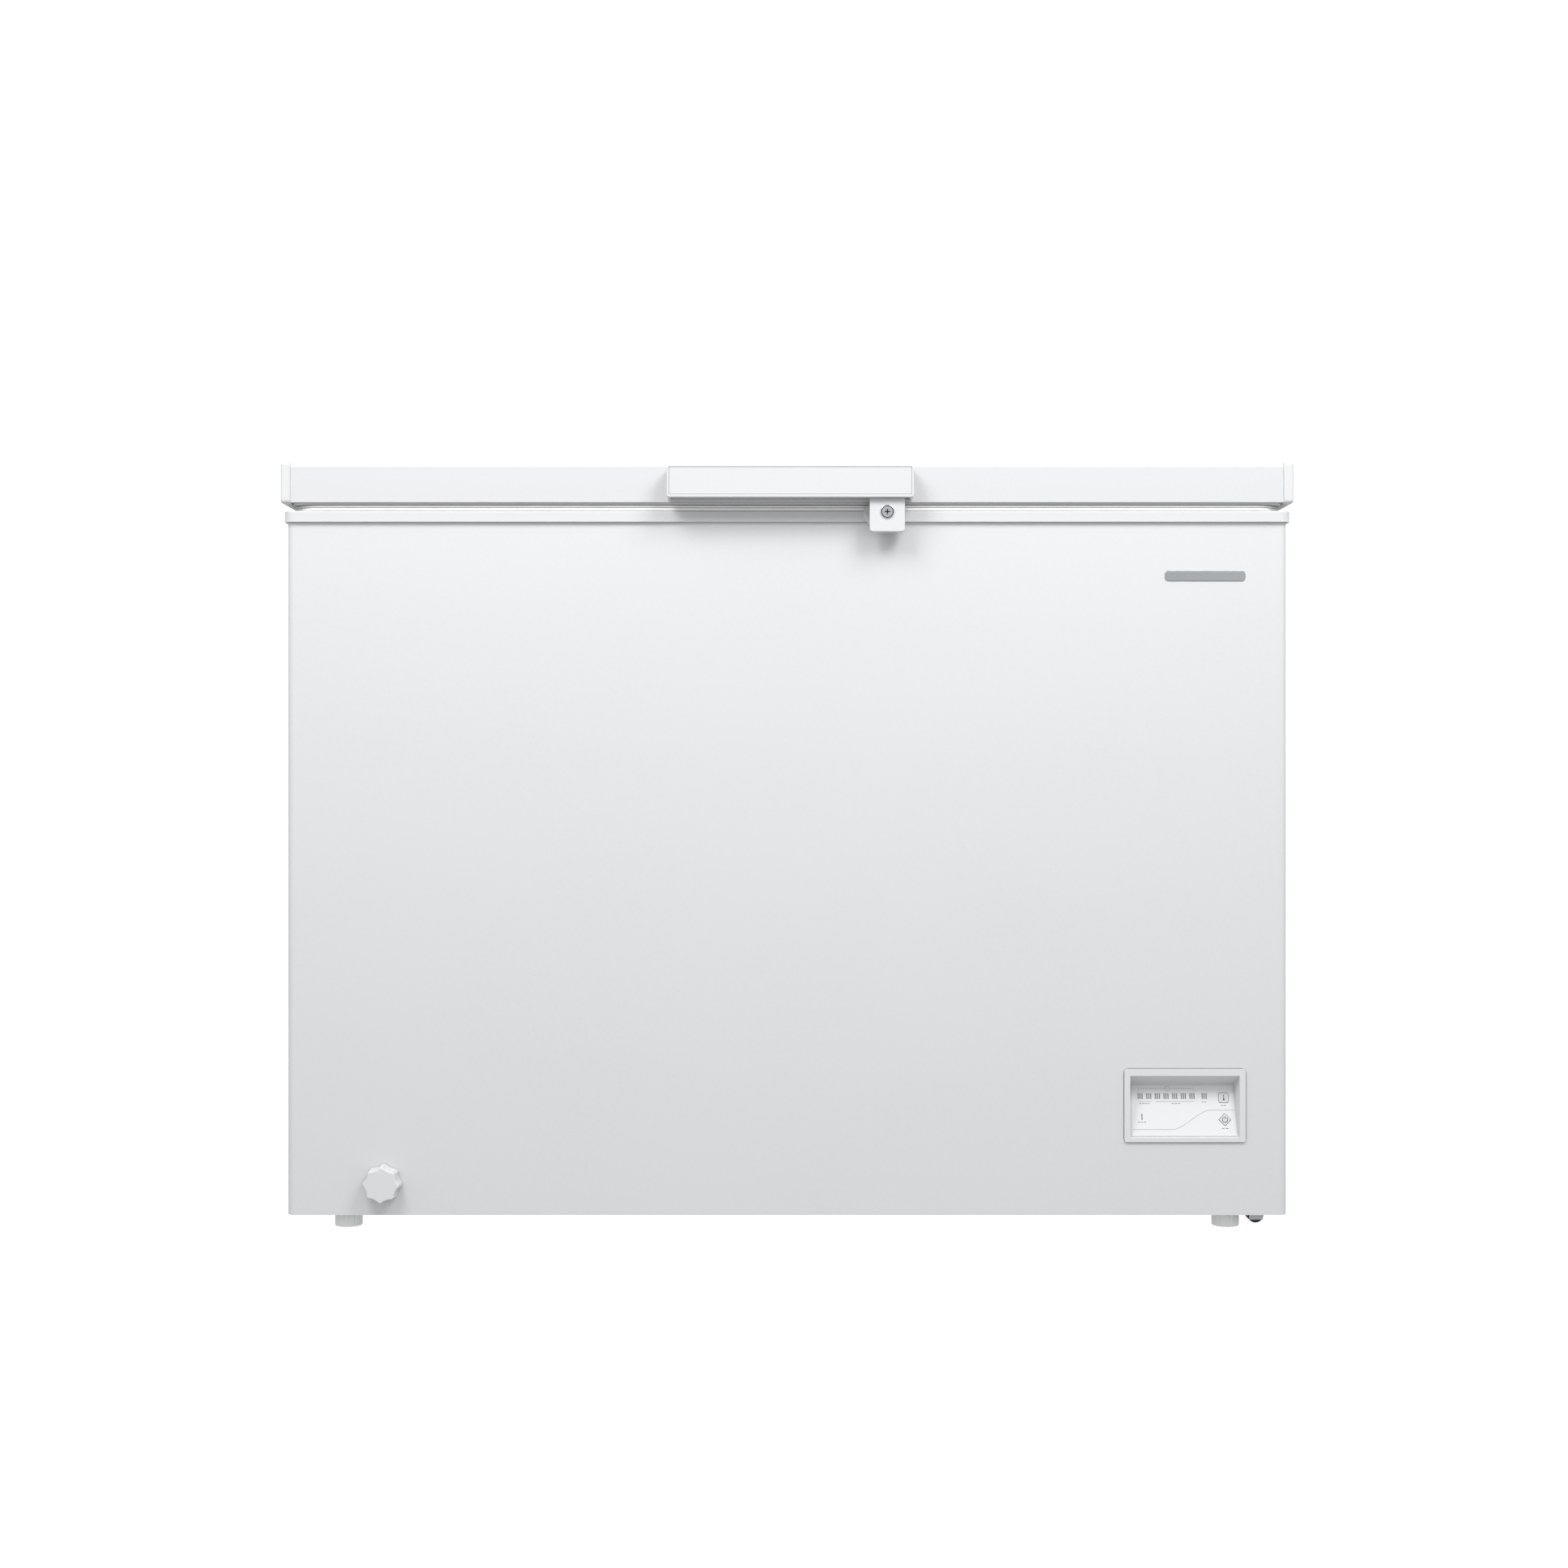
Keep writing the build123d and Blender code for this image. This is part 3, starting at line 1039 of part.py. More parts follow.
def hinge_channel(x):
    """Channel on the cabinet's back that guides the slider. Called outside any part."""
    with BuildPart() as channel:
        block(
            (x - CHANNEL_HALF, x + CHANNEL_HALF),
            (BODY_BACK + 0.05, BODY_BACK + CHANNEL_SHEET),
            (CHANNEL_LOW, COLLAR_LOW - 2),
        )
        for wall in (-1, 1):
            near = x + wall * (CHANNEL_HALF - CHANNEL_SHEET)
            far = x + wall * CHANNEL_HALF
            span = tuple(sorted((near, far)))
            block(span, (BODY_BACK + 0.05, HINGE_BACK), (CHANNEL_LOW, COLLAR_LOW - 2))
            block(span, (LID_BACK + 2.5, HINGE_BACK), (COLLAR_LOW - 4, PIN_Z))
            rod((near, PIN_Y, PIN_Z), (far, PIN_Y, PIN_Z), EAR_R)
        # Spring seat, and flanges with the screw holes
        block(
            (x - CHANNEL_HALF, x + CHANNEL_HALF),
            (BODY_BACK + 1, HINGE_BACK),
            (CHANNEL_LOW, CHANNEL_LOW + CHANNEL_SHEET),
        )
        block(
            (x - CHANNEL_HALF - 17, x + CHANNEL_HALF + 17),
            (BODY_BACK + 0.05, BODY_BACK + CHANNEL_SHEET),
            (CHANNEL_LOW + 6, COLLAR_LOW - 8),
        )
        rod(
            (x - CHANNEL_HALF - 1, PIN_Y, PIN_Z), (x + CHANNEL_HALF + 1, PIN_Y, PIN_Z), PIN_R, Mode.SUBTRACT
        )
        for screw_z in CHANNEL_SCREW_Z:
            for wall in (-1, 1):
                screw_x = x + wall * CHANNEL_SCREW_DX
                rod((screw_x, BODY_BACK - 3, screw_z), (screw_x, BODY_BACK + 5, screw_z), 2.2, Mode.SUBTRACT)
    return channel


def hinge_arm(x):
    """Lid bracket: a plate on the lid's back, a web to the pin and the cam below it."""
    with BuildPart() as arm:
        with BuildSketch(Plane.YZ.offset(x - 9)):
            with Locations((PIN_Y, PIN_Z)):
                Circle(CAM_BASE_R)
            with BuildLine():
                outline = [(PIN_Y + y, PIN_Z + z) for y, z in cam_outline()]
                Spline(*outline)
                Polyline(
                    outline[-1],
                    (PIN_Y + 4, PIN_Z + 6),
                    (PIN_Y - 7, PIN_Z + 4),
                    outline[0],
                )
            make_face()
            with BuildLine():
                Polyline(
                    (PIN_Y + 6, PIN_Z + 4),
                    (LID_BACK + 2.4, LID_TOP - 14),
                    (LID_BACK + 0.2, LID_TOP - 14),
                    (LID_BACK + 0.2, LID_LOW + 4),
                    (PIN_Y - 6, PIN_Z - 2),
                    close=True,
                )
            make_face()
        extrude(amount=18)
        block((x - 30, x + 30), (LID_BACK + 0.05, LID_BACK + 2.4), (LID_LOW + 3, LID_TOP - 4))
        fillet(arm.edges().filter_by(Axis.Y).sort_by(Axis.Z)[-2:], 5)
        rod((x - 10, PIN_Y, PIN_Z), (x + 10, PIN_Y, PIN_Z), PIN_R + 0.05, Mode.SUBTRACT)
        for screw_dx in (-ARM_SCREW_DX, ARM_SCREW_DX):
            for screw_z in ARM_SCREW_Z:
                screw_x = x + screw_dx
                rod((screw_x, LID_BACK - 3, screw_z), (screw_x, LID_BACK + 5, screw_z), 2.2, Mode.SUBTRACT)
    return arm


def hinge_slider(x):
    """Nylon block that the cam rides on."""
    with BuildPart() as slider:
        block(
            (x - CHANNEL_HALF + CHANNEL_SHEET + 0.4, x + CHANNEL_HALF - CHANNEL_SHEET - 0.4),
            (BODY_BACK + 6, BODY_BACK + 37),
            (SLIDER_TOP - SLIDER_H, SLIDER_TOP),
        )
        fillet(slider.edges().filter_by(Axis.Z), 2)
        # Spigot for the spring
        rod((x, BODY_BACK + 21, SLIDER_TOP - SLIDER_H - 8), (x, BODY_BACK + 21, SLIDER_TOP - SLIDER_H), 5.5)
    return slider


def hinge_spring(x):
    """Compression spring between the seat and the slider."""
    low = CHANNEL_LOW + CHANNEL_SHEET + 1.4
    high = SLIDER_TOP - SLIDER_H - 1.4
    with BuildPart() as spring:
        with BuildLine():
            coil = Helix(
                pitch=(high - low) / 11,
                height=high - low,
                radius=8.4,
                center=(x, BODY_BACK + 21, low),
            )
        with BuildSketch(Plane(origin=coil @ 0, z_dir=coil % 0)):
            Circle(1.3)
        sweep(path=coil, is_frenet=True)
    return spring


for side, hinge_x in (("left", -HINGE_X), ("right", HINGE_X)):
    save(hinge_channel(hinge_x), f"hinge_channel_{side}")
    save(hinge_arm(hinge_x), f"hinge_arm_{side}")
    save(hinge_slider(hinge_x), f"hinge_slider_{side}")
    save(hinge_spring(hinge_x), f"hinge_spring_{side}")

with BuildPart() as hinge_pins:
    for hinge_x in (-HINGE_X, HINGE_X):
        left, right = hinge_x - CHANNEL_HALF, hinge_x + CHANNEL_HALF
        rod((left - 1, PIN_Y, PIN_Z), (right + 1, PIN_Y, PIN_Z), PIN_R - 0.01)
        # Head on one side and a riveted end on the other
        rod((right + 0.1, PIN_Y, PIN_Z), (right + 2.4, PIN_Y, PIN_Z), 6.0)
        rod((left - 2.4, PIN_Y, PIN_Z), (left - 0.1, PIN_Y, PIN_Z), 5.4)
save(hinge_pins, "hinge_pins")

with BuildPart() as panel_screws:
    for hinge_x in (-HINGE_X, HINGE_X):
        for screw_z in CHANNEL_SCREW_Z:
            for wall in (-1, 1):
                pan_screw(hinge_x + wall * CHANNEL_SCREW_DX, BODY_BACK + CHANNEL_SHEET + 0.02, screw_z, 2.6)
    for screw_x in COVER_SCREW_X:
        for screw_z in COVER_SCREW_Z:
            pan_screw(screw_x, BACK_PANEL_Y + SHEET + 0.02, screw_z, 4.0)
save(panel_screws, "panel_screws")

with BuildPart() as lid_hinge_screws:
    for hinge_x in (-HINGE_X, HINGE_X):
        for screw_dx in (-ARM_SCREW_DX, ARM_SCREW_DX):
            for screw_z in ARM_SCREW_Z:
                pan_screw(hinge_x + screw_dx, LID_BACK + 2.42, screw_z, 2.3)
save(lid_hinge_screws, "lid_hinge_screws")

# ---------------------------------------------------------------------------------------------
# Wire basket
# ---------------------------------------------------------------------------------------------

HANGER_Z = LEDGE_Z + RIM_R + 0.2
RIM_Z = HANGER_Z - 2 * RIM_R
CROSS_WIRES = 9
LONG_WIRES = 11
hanger_half = mouth_y + LEDGE_W - 4
with BuildPart() as wire_basket:
    low_x, high_x = BASKET_X - BASKET_HALF_X, BASKET_X + BASKET_HALF_X
    low_y, high_y = MID_Y - BASKET_HALF_Y, MID_Y + BASKET_HALF_Y
    # Hangers that rest on the ledges, and the rim under them
    for bar_x in (low_x + RIM_R, high_x - RIM_R):
        rod((bar_x, MID_Y - hanger_half, HANGER_Z), (bar_x, MID_Y + hanger_half, HANGER_Z), RIM_R)
    for bar_y in (low_y, high_y):
        rod((low_x, bar_y, RIM_Z), (high_x, bar_y, RIM_Z), RIM_R)
    # Wires across: down one wall, over the floor, up the other
    for wire in range(CROSS_WIRES):
        wire_x = low_x + 8 + wire * (2 * BASKET_HALF_X - 16) / (CROSS_WIRES - 1)
        for wall_y in (low_y, high_y):
            rod((wire_x, wall_y, BASKET_LOW), (wire_x, wall_y, RIM_Z - RIM_R), WIRE_R)
        rod(
            (wire_x, low_y + WIRE_R, BASKET_LOW + WIRE_R),
            (wire_x, high_y - WIRE_R, BASKET_LOW + WIRE_R),
            WIRE_R,
        )
    # Wires along: on the floor, and two bands round the walls
    for wire in range(LONG_WIRES):
        wire_y = low_y + 14 + wire * (2 * BASKET_HALF_Y - 28) / (LONG_WIRES - 1)
        long_z = BASKET_LOW + 3 * WIRE_R
        rod((low_x + 4, wire_y, long_z), (high_x - 4, wire_y, long_z), WIRE_R)
        for end_x in (low_x + 2, high_x - 2):
            rod((end_x, wire_y, BASKET_LOW + 2 * WIRE_R), (end_x, wire_y, HANGER_Z - RIM_R - 0.6), WIRE_R)
    for band_z in (BASKET_LOW + 70, BASKET_LOW + 135):
        for band_y in (low_y + 2 * WIRE_R, high_y - 2 * WIRE_R):
            rod((low_x + 6, band_y, band_z), (high_x - 6, band_y, band_z), WIRE_R)
        for band_x in (low_x + 2 + 2 * WIRE_R, high_x - 2 - 2 * WIRE_R):
            rod((band_x, low_y + 6, band_z), (band_x, high_y - 6, band_z), WIRE_R)
save(wire_basket, "wire_basket")
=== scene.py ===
"""Looks of the chest freezer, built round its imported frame: metres, +Z up, -Y towards the user."""

import json
import logging
import math
from dataclasses import dataclass, field
from enum import Enum
from typing import Any, Callable, Sequence

import bmesh
import bpy
from mathutils import Matrix, Vector


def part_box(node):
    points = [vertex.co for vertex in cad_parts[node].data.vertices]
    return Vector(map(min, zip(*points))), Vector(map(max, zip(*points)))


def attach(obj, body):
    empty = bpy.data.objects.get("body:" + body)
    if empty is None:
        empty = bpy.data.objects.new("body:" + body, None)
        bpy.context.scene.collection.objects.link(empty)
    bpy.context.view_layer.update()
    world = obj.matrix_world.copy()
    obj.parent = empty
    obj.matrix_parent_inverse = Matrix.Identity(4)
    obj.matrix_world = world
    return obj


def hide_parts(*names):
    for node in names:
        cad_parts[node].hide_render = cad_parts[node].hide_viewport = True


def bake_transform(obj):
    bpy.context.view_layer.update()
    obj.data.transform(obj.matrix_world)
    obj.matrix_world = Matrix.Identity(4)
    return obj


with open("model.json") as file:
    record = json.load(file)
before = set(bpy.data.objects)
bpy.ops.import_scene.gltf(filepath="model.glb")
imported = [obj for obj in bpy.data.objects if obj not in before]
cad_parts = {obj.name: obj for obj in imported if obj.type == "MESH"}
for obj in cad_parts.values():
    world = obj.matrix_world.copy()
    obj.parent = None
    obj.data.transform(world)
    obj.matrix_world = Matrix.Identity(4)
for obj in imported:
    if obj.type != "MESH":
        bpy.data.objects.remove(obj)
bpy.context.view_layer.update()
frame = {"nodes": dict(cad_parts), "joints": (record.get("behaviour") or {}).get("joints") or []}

LOG = logging.getLogger("freezer")
MM = 0.001
SEED = 7
SHARP = math.radians(35)
ARC_STEPS = 36
HEAD_HEIGHT = 2.2 * MM

Outline = Sequence[tuple[float, float]]
Stroke = tuple[Outline, float, bool]
Run = tuple[Sequence[Sequence[float]], bool]


# ---- Small helpers ----


def linear(code: str) -> tuple[float, float, float, float]:
    """Turns an sRGB hex code to a linear colour.

    Args:
        code: six hex digits.

    Returns:
        Red, green, blue and an alpha of 1.
    """
    shares = [int(code[i : i + 2], 16) / 255 for i in (0, 2, 4)]
    red, green, blue = (s / 12.92 if s <= 0.04045 else ((s + 0.055) / 1.055) ** 2.4 for s in shares)
    return red, green, blue, 1.0


def put(tree: bpy.types.NodeTree, kind: str, links: dict | None = None, **settings: Any) -> bpy.types.Node:
    """Adds one node with its settings and links.

    Args:
        tree: the tree that gets the node.
        kind: the node's type name.
        links: input name or number to an output socket or a plain value.
        settings: attributes of the node, set before its links.

    Returns:
        The new node.
    """
    node = tree.nodes.new(kind)
    for key, value in settings.items():
        setattr(node, key, value)
    for key, value in (links or {}).items():
        if isinstance(value, bpy.types.NodeSocket):
            tree.links.new(value, node.inputs[key])
        else:
            node.inputs[key].default_value = value
    return node


def add_object(name: str, mesh: bpy.types.Mesh) -> bpy.types.Object:
    """Links a new object that holds a mesh, and returns it."""
    thing = bpy.data.objects.new(name, mesh)
    bpy.context.scene.collection.objects.link(thing)
    return thing


def mesh_of(name: str, form: bmesh.types.BMesh, smooth: bool = True) -> bpy.types.Mesh:
    """Turns a finished bmesh to a mesh with its faces outwards.

    Args:
        name: the mesh's name.
        form: the bmesh, which is freed.
        smooth: whether faces are shaded smooth.

    Returns:
        The mesh.
    """
    bmesh.ops.remove_doubles(form, verts=form.verts, dist=1e-7)
    bmesh.ops.recalc_face_normals(form, faces=form.faces)
    for face in form.faces:
        face.smooth = smooth
    mesh = bpy.data.meshes.new(name)
    form.to_mesh(mesh)
    form.free()
    if smooth:
        mesh.set_sharp_from_angle(angle=SHARP)
    return mesh


def bridge(form: bmesh.types.BMesh, here: Sequence, after: Sequence) -> None:
    """Joins two closed loops of as many vertices by a band of faces."""
    for i in range(len(here)):
        j = (i + 1) % len(here)
        form.faces.new((here[i], here[j], after[j], after[i]))


def islands(node: str) -> list[tuple[Vector, Vector]]:
    """Finds the separate solids of a CAD node.

    Args:
        node: the node's name.

    Returns:
        The lowest and highest corner of each solid.
    """
    form = bmesh.new()
    form.from_mesh(frame["nodes"][node].data)
    bmesh.ops.remove_doubles(form, verts=form.verts, dist=1e-6)
    left = set(form.verts)
    found = []
    while left:
        queue = [left.pop()]
        low, high = queue[0].co.copy(), queue[0].co.copy()
        while queue:
            vertex = queue.pop()
            for i in range(3):
                low[i] = min(low[i], vertex.co[i])
                high[i] = max(high[i], vertex.co[i])
            for edge in vertex.link_edges:
                other = edge.other_vert(vertex)
                if other in left:
                    left.discard(other)
                    queue.append(other)
        found.append((low, high))
    form.free()
    return sorted(found, key=lambda box: tuple(box[0]))


def seats(node: str) -> list[tuple[float, float, float]]:
    """Points where the heads of a CAD node's screws meet the face that looks along +Y."""
    boxes = islands(node)
    return [((low.x + high.x) / 2, high.y - HEAD_HEIGHT, (low.z + high.z) / 2) for low, high in boxes]


# ---- Finishes ----


class Grain(Enum):
    """How a surface was made, which gives it its relief."""

    PEEL = "roller-coated paint that levelled in an oven"
    SPARK = "plastic moulded against an eroded tool"
    SPANGLE = "hot-dip zinc with its crystals"
    DRAWN = "metal drawn or brushed along its length"
    STUCCO = "sheet embossed between rollers"
    CELLS = "foamed plastic with its cells"


# Size of a stucco pattern's warp, and width of a drawn line to its length
WARP = 0.6
STRETCH = 0.04
# Shift of the tint, span of the drift that roughness follows, and how rough a clear coat is
TINT_SHIFT = -0.05
DRIFT_SPAN = (0.3, 0.7)
COAT_ROUGHNESS = 0.12


@dataclass(frozen=True)
class Finish:
    """One real material and its process.

    Lengths are millimetres. Colour drifts from colour to second over drift_mm, and roughness runs
    between its two values with it.
    """

    name: str
    colour: str
    second: str
    roughness: tuple[float, float]
    grain: Grain
    grain_mm: float
    relief_mm: float
    metallic: float = 0.0
    ior: float = 1.5
    coat: float = 0.0
    drift_mm: float = 160.0
    glow: float = 0.0

    def relief(self, tree: bpy.types.NodeTree, place: bpy.types.NodeSocket) -> tuple:
        """Makes the pattern's height and its share of the second colour.

        Args:
            tree: the material's tree.
            place: the object coordinates.

        Returns:
            The height socket and the tint socket.
        """
        scale = 1 / (self.grain_mm * MM)
        if self.grain is Grain.SPANGLE:
            cells = put(tree, "ShaderNodeTexVoronoi", {"Vector": place, "Scale": scale})
            tone = put(tree, "ShaderNodeSeparateColor", {0: cells.outputs["Color"]})
            return cells.outputs["Distance"], tone.outputs[0]
        if self.grain is Grain.STUCCO:
            warp = put(tree, "ShaderNodeTexNoise", {"Vector": place, "Scale": scale * WARP, "Detail": 1.0})
            soft = {"Vector": place, "Scale": scale, "Smoothness": 0.6}
            cells = put(tree, "ShaderNodeTexVoronoi", soft, feature="SMOOTH_F1")
            both = {0: cells.outputs["Distance"], 1: warp.outputs[0]}
            height = put(tree, "ShaderNodeMath", both, operation="ADD")
            return height.outputs[0], warp.outputs[0]
        if self.grain is Grain.CELLS:
            cells = put(tree, "ShaderNodeTexVoronoi", {"Vector": place, "Scale": scale})
            return cells.outputs["Distance"], cells.outputs["Distance"]
        if self.grain is Grain.DRAWN:
            size = (scale, scale * STRETCH, scale * STRETCH)
            stretched = put(tree, "ShaderNodeMapping", {"Vector": place, "Scale": size})
            lines = put(
                tree, "ShaderNodeTexNoise", {"Vector": stretched.outputs[0], "Scale": 1.0, "Detail": 3.0}
            )
            return lines.outputs[0], lines.outputs[0]
        detail = 1.0 if self.grain is Grain.PEEL else 4.0
        noise = put(tree, "ShaderNodeTexNoise", {"Vector": place, "Scale": scale, "Detail": detail})
        return noise.outputs[0], noise.outputs[0]

    def build(self) -> bpy.types.Material:
        """Makes the material once, and returns it."""
        known = bpy.data.materials.get(self.name)
        if known:
            return known
        material = bpy.data.materials.new(self.name)
        material.use_nodes = True
        tree = material.node_tree
        tree.nodes.clear()
        place = put(tree, "ShaderNodeTexCoord").outputs["Object"]
        drift = put(
            tree,
            "ShaderNodeTexNoise",
            {"Vector": place, "Scale": 1 / (self.drift_mm * MM), "Detail": 3.0, "Roughness": 0.55},
        ).outputs[0]
        height, tint = self.relief(tree, place)
        share = put(
            tree,
            "ShaderNodeMath",
            {0: drift, 1: tint, 2: TINT_SHIFT},
            operation="MULTIPLY_ADD",
            use_clamp=True,
        )
        tone = put(
            tree,
            "ShaderNodeMix",
            {0: share.outputs[0], 6: linear(self.colour), 7: linear(self.second)},
            data_type="RGBA",
        ).outputs[2]
        rough = put(
            tree,
            "ShaderNodeMapRange",
            {
                "Value": drift,
                "From Min": DRIFT_SPAN[0],
                "From Max": DRIFT_SPAN[1],
                "To Min": self.roughness[0],
                "To Max": self.roughness[1],
            },
        ).outputs[0]
        bump = put(
            tree,
            "ShaderNodeBump",
            {"Height": height, "Strength": 1.0, "Distance": self.relief_mm * MM},
        ).outputs[0]
        shader = put(
            tree,
            "ShaderNodeBsdfPrincipled",
            {
                "Base Color": tone,
                "Roughness": rough,
                "Metallic": self.metallic,
                "IOR": self.ior,
                "Coat Weight": self.coat,
                "Coat Roughness": COAT_ROUGHNESS,
                "Normal": bump,
            },
        )
        if self.glow:
            shader.inputs["Emission Color"].default_value = linear(self.colour)
            shader.inputs["Emission Strength"].default_value = self.glow
        put(tree, "ShaderNodeOutputMaterial", {"Surface": shader.outputs[0]})
        return material


# Pre-painted steel, coil coated: reads as an even cool white with a faint peel in its gloss
BODY_PAINT = Finish(
    "prepainted_steel_cabinet", "CFD0D1", "CACBCD", (0.30, 0.38), Grain.PEEL, 3.5, 0.012, coat=0.15
)
# The lid's sheet is the same paint, a touch darker because it catches more light
LID_PAINT = Finish(
    "prepainted_steel_lid", "CACBCC", "C6C7C9", (0.28, 0.36), Grain.PEEL, 3.5, 0.012, coat=0.2
)
# Moulded ABS trim: satin, with a fine eroded grain drawn coarser than life so that it shows
TRIM_ABS = Finish("moulded_abs_trim", "CDCECF", "C8C9CB", (0.34, 0.44), Grain.SPARK, 1.1, 0.012)
# The panel's frame and the drain dial are moulded to match the cabinet's paint
PAINTED_ABS = Finish("abs_matched_to_paint", "D2D3D4", "CDCED0", (0.36, 0.46), Grain.SPARK, 1.1, 0.012)
# The handle's face plate is moulded in a polished tool, so it is smoother than its frame
FACE_ABS = Finish("polished_abs_face", "CCCDCE", "C9CACB", (0.22, 0.28), Grain.SPARK, 1.6, 0.004)
# Impact polystyrene of the lid's inner lining, lock striker and drain stopper: duller than the trim
LINING_HIPS = Finish("thermoformed_polystyrene", "D0D1D1", "CBCCCC", (0.42, 0.52), Grain.SPARK, 1.4, 0.02)
# Polypropylene of the grille and the drain's pipes: slightly waxy
GRILLE_PP = Finish("moulded_polypropylene", "DFE0E1", "D6D7D9", (0.40, 0.52), Grain.SPARK, 1.2, 0.02)
# Embossed, painted aluminium of the tub: small soft dimples that break up the light
TUB_STUCCO = Finish("stucco_embossed_aluminium", "E4E6E7", "DADDDF", (0.32, 0.42), Grain.STUCCO, 5.0, 0.22)
# Galvanised steel: grey-blue with crystals a few millimetres to a centimetre across
ZINC_SHEET = Finish(
    "hot_dip_galvanised_steel", "A4A8AB", "888C90", (0.34, 0.5), Grain.SPANGLE, 9.0, 0.01, metallic=0.9
)
# Pressed hinge steel, zinc plated: brighter and finer than sheet
ZINC_PLATE = Finish(
    "zinc_plated_pressing", "B7BABD", "A3A6A9", (0.25, 0.38), Grain.DRAWN, 0.8, 0.006, metallic=1.0
)
# Painted back sheet: a plain mid-grey primer
BACK_PAINT = Finish("primed_back_sheet", "B9BCBE", "AEB1B4", (0.45, 0.58), Grain.PEEL, 2.6, 0.02)
# Compressor enamel: thick, glossy black over rough steel
SHELL_ENAMEL = Finish(
    "stoved_black_enamel", "17181A", "232427", (0.22, 0.36), Grain.PEEL, 2.0, 0.05, coat=0.4
)
# Refrigeration copper: pink-brown, slightly tarnished
COPPER = Finish(
    "drawn_copper_tube", "B87355", "8C5138", (0.28, 0.45), Grain.DRAWN, 1.2, 0.006, metallic=1.0
)
# Nickel-chrome plate of the lock: near mirror
CHROME = Finish(
    "nickel_chrome_plate", "D4D7DA", "C4C8CC", (0.08, 0.14), Grain.DRAWN, 0.6, 0.001, metallic=1.0
)
# Satin-anodised badge
BADGE_METAL = Finish(
    "satin_anodised_aluminium", "AEB1B4", "A2A5A8", (0.3, 0.38), Grain.DRAWN, 0.7, 0.004, metallic=0.85
)
# Magnetic seal: soft white vinyl
SEAL_VINYL = Finish("extruded_soft_vinyl", "F4F4F4", "F0F0F0", (0.5, 0.6), Grain.SPARK, 1.5, 0.02)
# Black moulded nylon and polypropylene parts
BLACK_NYLON = Finish("glass_filled_nylon_black", "1B1C1D", "28292B", (0.4, 0.55), Grain.SPARK, 1.0, 0.03)
# Natural nylon of the hinge slider: ivory
IVORY_NYLON = Finish("natural_nylon", "DEDACB", "D2CDBB", (0.34, 0.44), Grain.SPARK, 1.3, 0.01)
# Moulded rubber: dull black
RUBBER = Finish("moulded_nitrile_rubber", "202122", "2B2C2D", (0.62, 0.75), Grain.SPARK, 1.2, 0.04)
# Rigid polyurethane foam: pale yellow with visible cells
FOAM = Finish("rigid_polyurethane_foam", "E3D6A6", "C9B883", (0.8, 0.92), Grain.CELLS, 1.6, 0.3)
# Powder-coated wire: thick soft white
WIRE_COAT = Finish("powder_coated_wire", "E9E9E6", "E1E1DD", (0.3, 0.4), Grain.PEEL, 1.4, 0.03)
# Printed polyester film of the panel: flat white with a very fine texture
PANEL_FILM = Finish("printed_polyester_film", "D9DADB", "D6D7D8", (0.38, 0.46), Grain.SPARK, 0.9, 0.004)
# Circuit board with its solder mask
BOARD = Finish("glass_epoxy_board", "1E5B38", "174A2D", (0.3, 0.42), Grain.PEEL, 1.5, 0.01)
# Screen inks: dark for icons, mid-grey for the lamps' windows and captions, pale for lines
INK_DARK = Finish("screen_ink_charcoal", "3E4042", "484A4C", (0.4, 0.5), Grain.SPARK, 0.8, 0.001)
INK_LAMP = Finish("smoked_lamp_window", "7E8184", "76797C", (0.3, 0.38), Grain.SPARK, 0.8, 0.001)
INK_PALE = Finish("screen_ink_silver", "9C9EA1", "97999C", (0.42, 0.5), Grain.SPARK, 0.8, 0.001)
# Painted shadow in the gap round the panel's frame: a thin dark outline
BEZEL_SHADOW_LINE = Finish("closed_cell_foam_strip", "8E9193", "858789", (0.75, 0.85), Grain.CELLS, 1.0, 0.05)
# Painted shade for the bottom of a joint or keyway that light hardly reaches
RECESS_SHADE = Finish("shaded_recess", "1E1F21", "1A1B1C", (0.7, 0.8), Grain.SPARK, 1.0, 0.02)
# Painted shade in the groove round the handle's plate: grey plastic tone
GROOVE_SHADE = Finish("shaded_abs_groove", "A2A4A7", "9A9C9F", (0.6, 0.7), Grain.SPARK, 1.0, 0.01)
# Levelling feet: bright white polypropylene
FOOT_PP = Finish("white_polypropylene", "F6F7F7", "F2F3F3", (0.38, 0.48), Grain.SPARK, 1.2, 0.015)
# Foil of the blank rating plate
PLATE_FOIL = Finish(
    "polyester_foil_label", "D3D5D6", "CBCDCE", (0.25, 0.32), Grain.DRAWN, 0.8, 0.002, metallic=0.4
)


def dress(finish: Finish, *nodes: str) -> None:
    """Gives CAD nodes a finish.

    Args:
        finish: the finish.
        nodes: names of CAD nodes that keep their own shape.
    """
    for name in nodes:
        slots = frame["nodes"][name].data.materials
        slots.clear()
        slots.append(finish.build())
        LOG.info("node %s is %s", name, finish.name)


def settle(
    name: str,
    mesh: bpy.types.Mesh,
    finish: Finish,
    body: str,
    instead_of: Sequence[str] = (),
) -> bpy.types.Object:
    """Makes a finished piece that rides on a body.

    Args:
        name: the piece's name.
        mesh: its mesh, in place.
        finish: what it is made of.
        body: the body it rides on.
        instead_of: CAD nodes that it stands for.

    Returns:
        The piece.
    """
    piece = add_object(name, mesh)
    mesh.materials.clear()
    mesh.materials.append(finish.build())
    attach(piece, body)
    if instead_of:
        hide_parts(*instead_of)
    LOG.info("piece %s: %d faces, on %s", name, len(mesh.polygons), body)
    return piece


